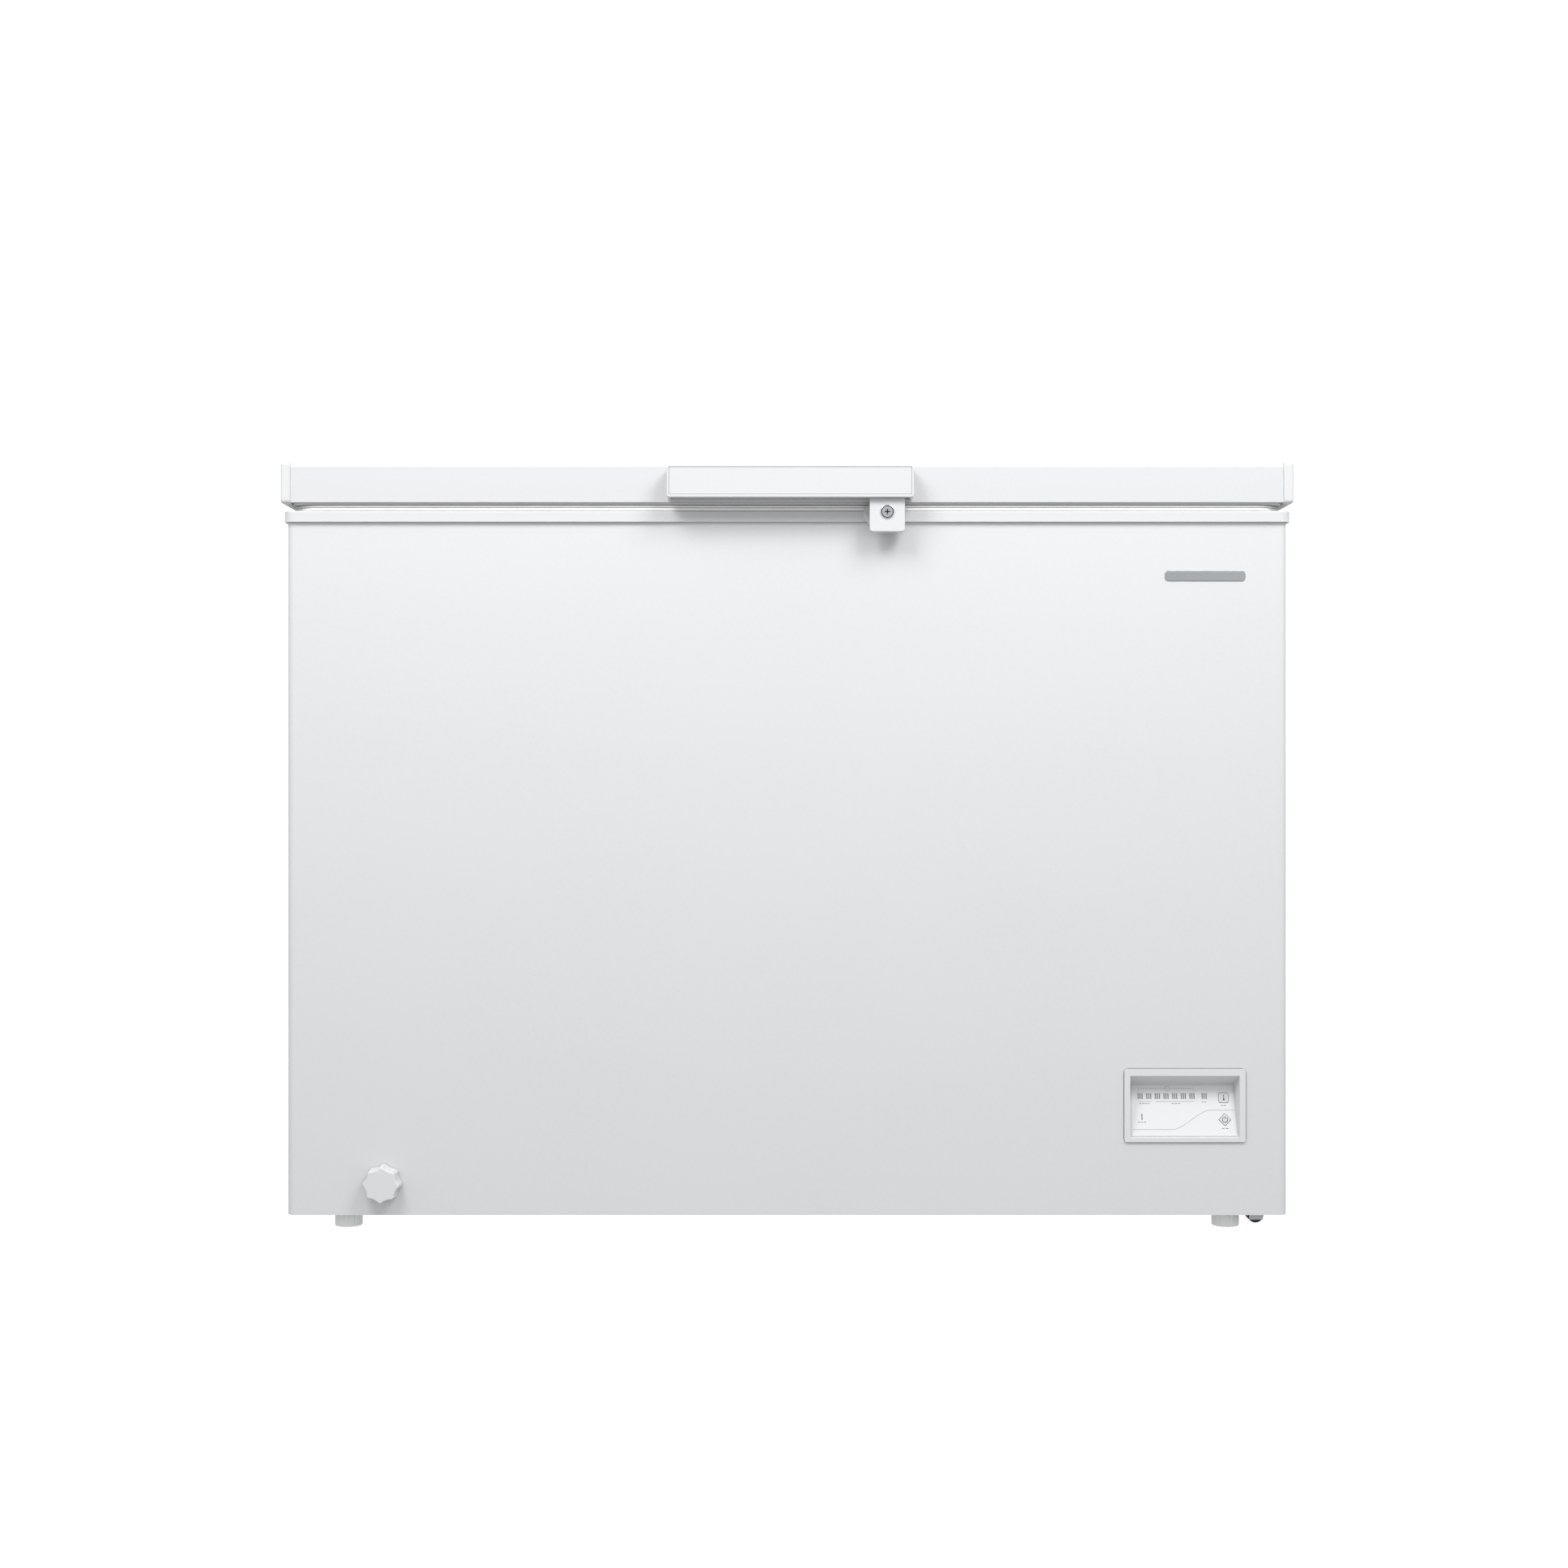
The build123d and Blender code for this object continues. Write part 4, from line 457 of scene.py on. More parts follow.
def strokes(marks: Sequence[Stroke], face: Matrix, lift: float, thick: float) -> bpy.types.Mesh:
    """Lays strokes on a face as thin closed ribbons.

    Args:
        marks: for each stroke its middle line, its width and whether it closes, in millimetres.
        face: turns millimetres on the face to the object's frame.
        lift: how far the strokes' back stands off the face.
        thick: how thick the strokes are.

    Returns:
        The strokes as one mesh.
    """
    form = bmesh.new()
    for line, width, closed in marks:
        count = len(line)
        loops = []
        for i, (u, v) in enumerate(line):
            back = line[i - 1] if closed or i > 0 else line[i]
            ahead = line[(i + 1) % count] if closed or i < count - 1 else line[i]
            along = Vector((ahead[0] - back[0], ahead[1] - back[1])).normalized()
            side = Vector((-along.y, along.x)) * width / 2
            loop = []
            for sign, height in ((1, 0.0), (1, thick), (-1, thick), (-1, 0.0)):
                spot = Vector((u + sign * side.x, v + sign * side.y, lift + height))
                loop.append(form.verts.new(face @ spot))
            loops.append(loop)
        for here, after in zip(loops, loops[1:] + loops[:1] if closed else loops[1:]):
            bridge(form, here, after)
        if not closed:
            form.faces.new(loops[0])
            form.faces.new(loops[-1])
    return mesh_of("strokes", form, smooth=False)


def arc(u: float, v: float, radius: float, start: float = 0, end: float = 360) -> list[tuple[float, float]]:
    """Points of an arc about (u, v), between two angles in degrees."""
    angles = [math.radians(start + (end - start) * i / ARC_STEPS) for i in range(ARC_STEPS)]
    return [(u + radius * math.cos(a), v + radius * math.sin(a)) for a in angles]


def soft_box(half_u: float, half_v: float, corner: float, steps: int = 6) -> list[tuple[float, float]]:
    """Finds the points of a rectangle with rounded corners, about its middle.

    Args:
        half_u: half of its width.
        half_v: half of its height.
        corner: the radius of each corner.
        steps: how many straight steps make a corner.

    Returns:
        Its points in order.
    """
    line = []
    for quarter in range(4):
        base = math.pi / 2 * quarter
        at_u = math.copysign(half_u - corner, math.cos(base + math.pi / 4))
        at_v = math.copysign(half_v - corner, math.sin(base + math.pi / 4))
        for step in range(steps + 1):
            turn = base + math.pi / 2 * step / steps
            line.append((at_u + corner * math.cos(turn), at_v + corner * math.sin(turn)))
    return line


def middle_of(node: str, depth: float) -> tuple[Matrix, float, float]:
    """Finds where a piece goes on the middle of a node's front.

    Args:
        node: the CAD node.
        depth: the height of the face along Y.

    Returns:
        The face, and half the node's width and height in millimetres.
    """
    low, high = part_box(node)
    face = front_face((low.x + high.x) / 2, depth, (low.z + high.z) / 2)
    return face, (high.x - low.x) / 2 / MM, (high.z - low.z) / 2 / MM


def front_face(x: float, y: float, z: float) -> Matrix:
    """A face that looks along -Y from a point, with millimetres to the right and up."""
    turn = Matrix(((1, 0, 0, 0), (0, 0, -1, 0), (0, 1, 0, 0), (0, 0, 0, 1)))
    return Matrix.Translation((x, y, z)) @ turn @ Matrix.Scale(MM, 4)


# ---- Geometry Nodes ----


def tubed(
    tree: bpy.types.NodeTree, line: bpy.types.NodeSocket, radius: bpy.types.NodeSocket
) -> bpy.types.NodeSocket:
    """Sweeps a round wire along a curve.

    Args:
        tree: the Geometry Nodes tree.
        line: the wire's middle line.
        radius: the wire's radius.

    Returns:
        The wire's mesh.
    """
    ring = put(tree, "GeometryNodeCurvePrimitiveCircle", {"Resolution": 10, "Radius": radius})
    sweep = {"Curve": line, "Profile Curve": ring.outputs[0], "Fill Caps": True}
    return put(tree, "GeometryNodeCurveToMesh", sweep).outputs[0]


class Recipe:
    """A Geometry Nodes tree with named inputs, turned to a plain mesh when it has run."""

    def __init__(self, name: str, inputs: dict[str, tuple[str, Any]]) -> None:
        """Opens the tree.

        Args:
            name: the tree's name.
            inputs: input name to its socket type and its value.
        """
        self.tree = bpy.data.node_groups.new(name, "GeometryNodeTree")
        self.values: dict[str, Any] = {}
        face = self.tree.interface
        face.new_socket(name="Geometry", in_out="INPUT", socket_type="NodeSocketGeometry")
        for key, (kind, value) in inputs.items():
            socket = face.new_socket(name=key, in_out="INPUT", socket_type=kind)
            self.values[socket.identifier] = value
        face.new_socket(name="Geometry", in_out="OUTPUT", socket_type="NodeSocketGeometry")
        self.given = put(self.tree, "NodeGroupInput").outputs

    def run(self, result: bpy.types.NodeSocket, start: bpy.types.Mesh, finish: Finish) -> bpy.types.Mesh:
        """Ends the tree, runs it on a mesh, and returns what it made.

        Args:
            result: the socket with the finished geometry.
            start: the mesh that the tree starts from.
            finish: the material that the result gets.

        Returns:
            A plain mesh.
        """
        real = put(self.tree, "GeometryNodeRealizeInstances", {0: result}).outputs[0]
        named = put(self.tree, "GeometryNodeSetMaterial", {"Geometry": real, "Material": finish.build()})
        put(self.tree, "NodeGroupOutput", {0: named.outputs[0]})
        holder = add_object(self.tree.name + "_holder", start)
        modifier = holder.modifiers.new("recipe", "NODES")
        modifier.node_group = self.tree
        for identifier, value in self.values.items():
            modifier[identifier] = value
        graph = bpy.context.evaluated_depsgraph_get()
        mesh = bpy.data.meshes.new_from_object(holder.evaluated_get(graph), depsgraph=graph)
        bpy.data.objects.remove(holder)
        return mesh


def wires(
    name: str, runs: Sequence[Run], radius: float, bend: float, finish: Finish
) -> bpy.types.Mesh:
    """Bends round wire along straight runs.

    Args:
        name: the tree's name.
        runs: for each wire its points, in metres, and whether it closes on itself.
        radius: the wire's radius.
        bend: the radius of each bend.
        finish: the wire's finish.

    Returns:
        The wires as one mesh.
    """
    start = bpy.data.meshes.new(name + "_runs")
    points, edges = [], []
    for run, closed in runs:
        first = len(points)
        points += [tuple(p) for p in run]
        edges += [(first + i, first + i + 1) for i in range(len(run) - 1)]
        if closed:
            edges.append((len(points) - 1, first))
    start.from_pydata(points, edges, [])
    recipe = Recipe(
        name,
        {"Wire radius": ("NodeSocketFloat", radius), "Bend radius": ("NodeSocketFloat", bend)},
    )
    tree, given = recipe.tree, recipe.given
    line = put(tree, "GeometryNodeMeshToCurve", {0: given["Geometry"]}).outputs[0]
    bent = put(
        tree,
        "GeometryNodeFilletCurve",
        {"Curve": line, "Count": 5, "Radius": given["Bend radius"], "Limit Radius": True},
        mode="POLY",
    ).outputs[0]
    return recipe.run(tubed(tree, bent, given["Wire radius"]), start, finish)


@dataclass
class PanHead:
    """Pan-head screw with a cross recess, in metres, lying on a face that looks along +Y."""

    radius: float = 4.0 * MM
    height: float = HEAD_HEIGHT
    shoulder: float = 0.55
    slot_half: float = 0.55 * MM
    slot_reach: float = 2.3 * MM
    slot_depth: float = 1.3 * MM
    spokes: int = 40
    rings: int = 12

    def top(self, x: float, z: float) -> float:
        """Height of the dome at a point, less the cross recess."""
        out = min(math.hypot(x, z) / self.radius, 1.0)
        dome = self.height * (self.shoulder + (1 - self.shoulder) * math.sqrt(max(0.0, 1 - out**4)))
        cut = min(abs(x), abs(z)) < self.slot_half and max(abs(x), abs(z)) < self.slot_reach
        return dome - (self.slot_depth if cut else 0.0)

    def mesh(self) -> bpy.types.Mesh:
        """Builds the head as a closed polar grid."""
        form = bmesh.new()
        middle = form.verts.new((0, self.top(0, 0), 0))
        loops = []
        for ring in range(1, self.rings + 1):
            loop = []
            for spoke in range(self.spokes):
                turn = 2 * math.pi * spoke / self.spokes
                reach = self.radius * ring / self.rings
                x, z = reach * math.cos(turn), reach * math.sin(turn)
                loop.append(form.verts.new((x, self.top(x, z), z)))
            loops.append(loop)
        foot = [form.verts.new((v.co.x, 0.0, v.co.z)) for v in loops[-1]]
        loops.append(foot)
        for spoke in range(self.spokes):
            after = (spoke + 1) % self.spokes
            form.faces.new((middle, loops[0][spoke], loops[0][after]))
            for inner, outer in zip(loops, loops[1:]):
                form.faces.new((inner[spoke], outer[spoke], outer[after], inner[after]))
        form.faces.new(foot)
        return mesh_of("pan_head", form)

    def drive(self, name: str, places: Sequence[Sequence[float]], finish: Finish) -> bpy.types.Mesh:
        """Puts a head on each seat, each turned by its own seeded angle.

        Args:
            name: the tree's name.
            places: where each head meets its face.
            finish: the screws' finish.

        Returns:
            All the heads as one mesh.
        """
        template = add_object(name + "_template", self.mesh())
        start = bpy.data.meshes.new(name + "_seats")
        start.from_pydata([tuple(p) for p in places], [], [])
        recipe = Recipe(
            name,
            {
                "Screw": ("NodeSocketObject", template),
                "Largest turn": ("NodeSocketFloat", math.pi / 2),
                "Seed": ("NodeSocketInt", SEED),
            },
        )
        tree, given = recipe.tree, recipe.given
        head = put(tree, "GeometryNodeObjectInfo", {"Object": given["Screw"]}).outputs["Geometry"]
        turn = put(tree, "FunctionNodeRandomValue", {"Seed": given["Seed"]}, data_type="FLOAT")
        tree.links.new(given["Largest turn"], turn.inputs[3])
        spin = put(tree, "ShaderNodeCombineXYZ", {"Y": turn.outputs[1]}).outputs[0]
        placed = put(
            tree,
            "GeometryNodeInstanceOnPoints",
            {"Points": given["Geometry"], "Instance": head, "Rotation": spin},
        ).outputs[0]
        mesh = recipe.run(placed, start, finish)
        bpy.data.objects.remove(template)
        return mesh


# ---- Sub-assemblies ----


@dataclass
class Cabinet:
    """Painted wrap, collar, base and the tub inside them."""

    plate_size: tuple[float, float] = (92 * MM, 58 * MM)
    plate_height: float = 0.34
    plate_corner: float = 4 * MM
    # Section of the plate's edge, in millimetres: how far in, and how far off the sheet
    plate_edge: tuple[tuple[float, float], ...] = ((0.0, 0.0), (0.0, 0.5), (1.2, 0.6), (2.2, 0.35))

    def build(self) -> None:
        """Dresses the cabinet's nodes and adds its screws and rating plate."""
        dress(BODY_PAINT, "cabinet_wrap")
        dress(TRIM_ABS, "top_collar")
        dress(BACK_PAINT, "back_panel")
        dress(ZINC_SHEET, "base_pan", "compressor_deck", "rear_cover")
        dress(TUB_STUCCO, "inner_liner")
        dress(FOAM, "insulation_foam")
        dress(BADGE_METAL, "badge_plate")
        dress(GRILLE_PP, "vent_grille")
        dress(BLACK_NYLON, "cord_gland")
        heads = PanHead().drive("panel_screw_heads", seats("panel_screws"), ZINC_PLATE)
        settle("panel_screw_heads", heads, ZINC_PLATE, "cabinet", ["panel_screws"])
        settle("rating_plate", self.plate(), PLATE_FOIL, "cabinet")

    def plate(self) -> bpy.types.Mesh:
        """Builds a blank rating plate with round corners and a raised border on the back sheet."""
        cover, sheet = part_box("rear_cover"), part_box("back_panel")
        centre = Vector(((cover[0].x + cover[1].x) / 2, sheet[1].y, self.plate_height))
        form = bmesh.new()
        rings = []
        for inset, lift in self.plate_edge:
            half_x, half_z = (side / 2 - inset * MM for side in self.plate_size)
            outline = soft_box(half_x, half_z, self.plate_corner, steps=5)
            rings.append([form.verts.new(centre + Vector((x, lift * MM, z))) for x, z in outline])
        for inner, outer in zip(rings, rings[1:]):
            bridge(form, inner, outer)
        form.faces.new(rings[0])
        form.faces.new(rings[-1])
        return mesh_of("rating_plate", form)


@dataclass
class Lid:
    """Folded sheet, end caps, lining, seal and handle."""

    # Section of the seal: how far out from its middle, and the height up from its foot, in millimetres
    section: tuple[tuple[float, float], ...] = (
        (-9.2, 0.5),
        (-8.6, 0.0),
        (11.0, 0.0),
        (11.6, 0.5),
        (11.6, 2.3),
        (11.0, 2.8),
        (9.4, 2.9),
        (8.6, 3.3),
        (9.4, 3.8),
        (11.8, 4.1),
        (12.3, 4.6),
        (12.0, 5.2),
        (9.4, 5.4),
        (8.8, 6.1),
        (-6.4, 6.1),
        (-7.0, 5.4),
        (-9.4, 5.2),
        (-9.6, 4.4),
        (-6.4, 3.8),
        (-5.6, 3.3),
        (-8.8, 2.7),
        (-9.2, 2.3),
    )
    seal_corner: float = 14 * MM
    seal_half: float = 11 * MM
    # Painted shade in the groove round the handle's plate, in millimetres: its gap, corner, width and depth
    groove: tuple[float, float, float, float] = (0.2, 1.7, 0.8, 0.34)
    groove_thick: float = 0.3

    def build(self) -> None:
        """Dresses the lid's nodes and adds painted shade in the handle's groove, the seal and the hinge
        screws.
        """
        dress(LID_PAINT, "lid_skin")
        dress(TRIM_ABS, "lid_end_cap_left", "lid_end_cap_right", "handle_body")
        dress(FACE_ABS, "handle_face")
        dress(LINING_HIPS, "lid_liner")
        dress(FOAM, "lid_foam")
        middle, half_u, half_v = middle_of("handle_face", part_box("handle_body")[0].y)
        # Grey ribbon sunk in the gap round the plate: painted shade
        gap, corner, width, depth = self.groove
        outline = soft_box(half_u + gap, half_v + gap, corner)
        line = strokes([(outline, width, True)], middle, -depth, self.groove_thick)
        settle("handle_groove", line, GROOVE_SHADE, "lid")
        settle("lid_seal", self.seal(), SEAL_VINYL, "lid", ["lid_gasket"])
        heads = PanHead().drive("lid_screw_heads", seats("lid_hinge_screws"), ZINC_PLATE)
        settle("lid_screw_heads", heads, ZINC_PLATE, "lid", ["lid_hinge_screws"])

    def seal(self) -> bpy.types.Mesh:
        """Sweeps the seal's section round the lid, in the place of its plain solid."""
        low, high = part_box("lid_gasket")
        half_x = (high.x - low.x) / 2 - self.seal_half
        half_y = (high.y - low.y) / 2 - self.seal_half
        middle = (low + high) / 2
        form = bmesh.new()
        rings = []
        for out, up in self.section:
            reach = out * MM
            outline = soft_box(half_x + reach, half_y + reach, self.seal_corner + reach, steps=8)
            height = low.z + up * MM
            rings.append([form.verts.new((middle.x + x, middle.y + y, height)) for x, y in outline])
        for here, after in zip(rings, rings[1:] + rings[:1]):
            bridge(form, here, after)
        return mesh_of("lid_seal", form)


@dataclass
class Lock:
    """Cam lock under the handle. Lengths are millimetres."""

    keyway: tuple[float, float] = (2.9, 1.36)
    keyway_thick: float = 0.3
    sunk: float = 0.5
    groove: tuple[float, float] = (6.35, 0.9)
    groove_thick: float = 0.1

    def build(self) -> None:
        """Dresses the lock's nodes and lays painted shade in its keyway and in the groove round its plug.
        """
        dress(TRIM_ABS, "lock_housing")
        dress(LINING_HIPS, "lock_striker")
        dress(CHROME, "lock_cylinder", "lock_plug")
        dress(ZINC_PLATE, "lock_cam")
        low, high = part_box("lock_plug")
        x, z = (low.x + high.x) / 2, (low.z + high.z) / 2
        # Dark cross in the keyway and dark ring in the groove round the plug: painted shade
        reach, wide = self.keyway
        cross = [([(-reach, 0.0), (reach, 0.0)], wide, False), ([(0.0, -reach), (0.0, reach)], wide, False)]
        depth = -self.sunk - self.keyway_thick
        sunk = strokes(cross, front_face(x, low.y, z), depth, self.keyway_thick)
        settle("lock_keyway", sunk, RECESS_SHADE, "lock")
        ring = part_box("lock_cylinder")[0]
        radius, width = self.groove
        circle = [(arc(0.0, 0.0, radius), width, True)]
        band = strokes(circle, front_face(x, ring.y, z), -self.groove_thick / 2, self.groove_thick)
        settle("lock_groove", band, RECESS_SHADE, "lid")


@dataclass
class ControlPanel:
    """Leaning panel with printed marks. Lengths on the face are millimetres, u right and v up."""

    film: float = 0.6
    below_middle: float = 0.7
    ink: float = 0.05
    key_proud: float = 0.68
    print_lift: float = 0.02
    # Painted shadow line round the frame: its gap, corner, width and thickness
    shadow_line: tuple[float, float, float, float] = (0.3, 5.0, 1.0, 0.5)
    line: float = 0.4
    dash_pitch: float = 3.4
    dash_share: float = 0.72
    dash: float = 0.75
    lamp_pitch: float = 9.63
    lamp_row: float = 15.6
    face: Matrix = field(init=False)

    def __post_init__(self) -> None:
        """Finds the face from the film's box and the keys' travel."""
        joint = next(j for j in frame["joints"] if j["name"] == "temperature_press")
        normal = -Vector(joint["axis"]).normalized()
        across = Vector((1, 0, 0))
        up = normal.cross(across)
        low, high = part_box("control_overlay")
        origin = (low + high) / 2 + up * self.below_middle * MM + normal * self.film / 2 * MM
        turn = Matrix((across, up, normal)).transposed().to_4x4()
        self.face = Matrix.Translation(origin) @ turn @ Matrix.Scale(MM, 4)

    def build(self) -> None:
        """Dresses the panel and prints its marks."""
        dress(PAINTED_ABS, "control_bezel")
        dress(PANEL_FILM, "control_overlay")
        dress(FACE_ABS, "temperature_button", "power_button")
        dress(BOARD, "control_board")
        middle, half_u, half_v = middle_of("control_bezel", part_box("cabinet_wrap")[0].y)
        # Dark ribbon round the frame, standing off the cabinet: painted shadow of the gap between frame and
        # cabinet
        gap, corner, width, thick = self.shadow_line
        outline = soft_box(half_u + gap, half_v + gap, corner)
        rim = strokes([(outline, width, True)], middle, 0.0, thick)
        settle("bezel_seal", rim, BEZEL_SHADOW_LINE, "cabinet")
        settle("panel_lamps", self.lamps(), INK_LAMP, "cabinet")
        marks = (
            ("panel_lines", self.lines(), self.print_lift, INK_PALE, "cabinet"),
            ("panel_captions", self.captions(), self.print_lift, INK_LAMP, "cabinet"),
            ("temperature_icon", self.thermometer(), self.key_proud, INK_DARK, "temperature_key"),
            ("power_icon", self.power(), self.key_proud, INK_DARK, "power_key"),
        )
        for name, drawn, lift, ink, body in marks:
            printed = strokes(drawn, self.face, lift, self.ink)
            settle(name, printed, ink, body)

    def lamps(self) -> bpy.types.Mesh:
        """Repeats three lamp bars in each group: seven groups together and one apart."""
        middle = self.print_lift + self.ink / 2
        recipe = Recipe(
            "lamp_groups",
            {
                "Group pitch": ("NodeSocketFloat", self.lamp_pitch),
                "Bar pitch": ("NodeSocketFloat", 2.2),
                "Bar size": ("NodeSocketVector", (1.3, 6.4, self.ink)),
                "First bar": ("NodeSocketVector", (-49.55, self.lamp_row, middle)),
                "Lone group": ("NodeSocketVector", (21.75, self.lamp_row, middle)),
            },
        )
        tree, given = recipe.tree, recipe.given
        step = put(tree, "ShaderNodeCombineXYZ", {"X": given["Bar pitch"]}).outputs[0]
        stride = put(tree, "ShaderNodeCombineXYZ", {"X": given["Group pitch"]}).outputs[0]
        bar = put(tree, "GeometryNodeMeshCube", {"Size": given["Bar size"]}).outputs[0]
        three = put(tree, "GeometryNodeMeshLine", {"Count": 3, "Offset": step}).outputs[0]
        group = put(tree, "GeometryNodeInstanceOnPoints", {"Points": three, "Instance": bar}).outputs[0]
        both = put(tree, "GeometryNodeJoinGeometry")
        for count, first in ((7, "First bar"), (1, "Lone group")):
            spots = {"Count": count, "Offset": stride, "Start Location": given[first]}
            row = put(tree, "GeometryNodeMeshLine", spots).outputs[0]
            tree.links.new(row, both.inputs[0])
        every = put(
            tree, "GeometryNodeInstanceOnPoints", {"Points": both.outputs[0], "Instance": group}
        ).outputs[0]
        mesh = recipe.run(every, bpy.data.meshes.new("lamp_start"), INK_LAMP)
        mesh.transform(self.face)
        return mesh

    def lines(self) -> list[Stroke]:
        """The bracket over the lamps, the small brackets under them and the panel's wave."""
        edge, foot, top, low, steps = 57.3, -14.0, 31.0, -21.4, 24
        wave = [(-edge, low), (foot, low)]
        for i in range(1, steps):
            share = i / steps
            ease = share * share * (3 - 2 * share)
            wave.append((foot + (top - foot) * share, low - low * ease))
        wave += [(top, 0.0), (edge, 0.0)]
        return [
            ([(-49.3, 20.7), (-49.3, 24.2), (-19.6, 24.2)], self.line, False),
            ([(-14.2, 24.2), (12.6, 24.2), (12.6, 20.7)], self.line, False),
            (arc(-16.9, 24.2, 2.5), self.line, True),
            ([(-49.6, 10.2), (-49.0, 9.5), (-35.5, 9.5), (-34.9, 10.2)], self.line, False),
            ([(-30.1, 10.2), (-29.5, 9.5), (12.4, 9.5), (13.0, 10.2)], self.line, False),
            (wave, 0.45, False),
        ]

    def captions(self) -> list[Stroke]:
        """Plain dashes where a maker's words would be, and the mark of the running lamp."""
        rows = [(-42.4, 7.4, 12.4), (-7.6, 7.4, 10.6), (24.0, 9.0, 5.6), (-46.0, -13.3, 10.4)]
        rows += [(45.5, 5.1, 6.8), (46.0, -20.2, 8.4), (-16.9, 24.2, 1.4)]
        marks: list[Stroke] = []
        for u, v, width in rows:
            dashes = max(1, round(width / self.dash_pitch))
            pitch = width / dashes
            for i in range(dashes):
                left = u - width / 2 + i * pitch
                marks.append(([(left, v), (left + pitch * self.dash_share, v)], self.dash, False))
        marks.append(([(-46.2, -4.0), (-46.2, -10.8)], 1.3, False))
        return marks

    def thermometer(self) -> list[Stroke]:
        """Thermometer on the temperature key."""
        return [
            ([(45.4, 17.0), (45.4, 12.4)], 0.7, False),
            (arc(45.4, 11.9, 0.55), 1.1, True),
        ]

    def power(self) -> list[Stroke]:
        """Open ring and bar on the power key."""
        return [
            (arc(45.7, -10.6, 2.9, 118, 422), 0.7, False),
            ([(45.7, -7.0), (45.7, -9.8)], 0.7, False),
        ]


@dataclass
class Drain:
    """Defrost drain: dial at the front, elbow in the foam and stopper in the tub."""

    def build(self) -> None:
        """Dresses the drain's nodes."""
        dress(PAINTED_ABS, "drain_knob")
        dress(RUBBER, "drain_seal")
        dress(GRILLE_PP, "drain_outlet", "drain_tube")
        dress(LINING_HIPS, "drain_plug")


@dataclass
class Base:
    """Levelling feet and transport rollers."""

    def build(self) -> None:
        """Dresses the feet and rollers."""
        for end in ("front", "rear"):
            for side in ("left", "right"):
                dress(FOOT_PP, f"levelling_foot_{end}_{side}")
            dress(BLACK_NYLON, f"transport_roller_{end}")
        dress(ZINC_PLATE, "roller_brackets")


@dataclass
class MachineRoom:
    """Compressor and its pipework behind the side grille."""

    def build(self) -> None:
        """Dresses the machine room's nodes."""
        dress(SHELL_ENAMEL, "compressor")
        dress(RUBBER, "compressor_grommets")
        dress(ZINC_PLATE, "compressor_bolts")
        dress(BLACK_NYLON, "relay_cover")
        dress(COPPER, "refrigerant_pipes", "evaporator_coil")
        dress(ZINC_PLATE, "condenser_coil")


@dataclass
class Hinges:
    """Sprung hinges behind the cabinet."""

    turns: float = 11.0
    coil_radius: float = 8.4 * MM
    wire_radius: float = 1.3 * MM
    seat: float = 10 * MM

    def build(self) -> None:
        """Dresses the hinges and winds their springs."""
        dress(ZINC_PLATE, "hinge_pins")
        for side in ("left", "right"):
            dress(ZINC_PLATE, f"hinge_channel_{side}", f"hinge_arm_{side}")
            dress(IVORY_NYLON, f"hinge_slider_{side}")
            self.wind(side)

    def wind(self, side: str) -> None:
        """Winds one spring.

        Args:
            side: left or right.
        """
        low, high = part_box(f"hinge_spring_{side}")
        tall = high.z - low.z - 2 * self.wire_radius
        recipe = Recipe(
            f"coil_{side}",
            {
                "Turns": ("NodeSocketFloat", self.turns),
                "Coil radius": ("NodeSocketFloat", self.coil_radius),
                "Height": ("NodeSocketFloat", tall),
                "Wire radius": ("NodeSocketFloat", self.wire_radius),
            },
        )
        tree, given = recipe.tree, recipe.given
        helix = put(
            tree,
            "GeometryNodeCurveSpiral",
            {
                "Resolution": 20,
                "Rotations": given["Turns"],
                "Start Radius": given["Coil radius"],
                "End Radius": given["Coil radius"],
                "Height": given["Height"],
            },
        ).outputs[0]
        tube = tubed(tree, helix, given["Wire radius"])
        mesh = recipe.run(tube, bpy.data.meshes.new("coil_start"), ZINC_PLATE)
        middle = (low + high) / 2
        mesh.transform(Matrix.Translation((middle.x, middle.y, low.z + self.wire_radius)))
        piece = add_object(f"lid_spring_{side}", mesh)
        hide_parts(f"hinge_spring_{side}")
        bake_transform(piece)
        LOG.info("piece lid_spring_%s: %d faces", side, len(mesh.polygons))


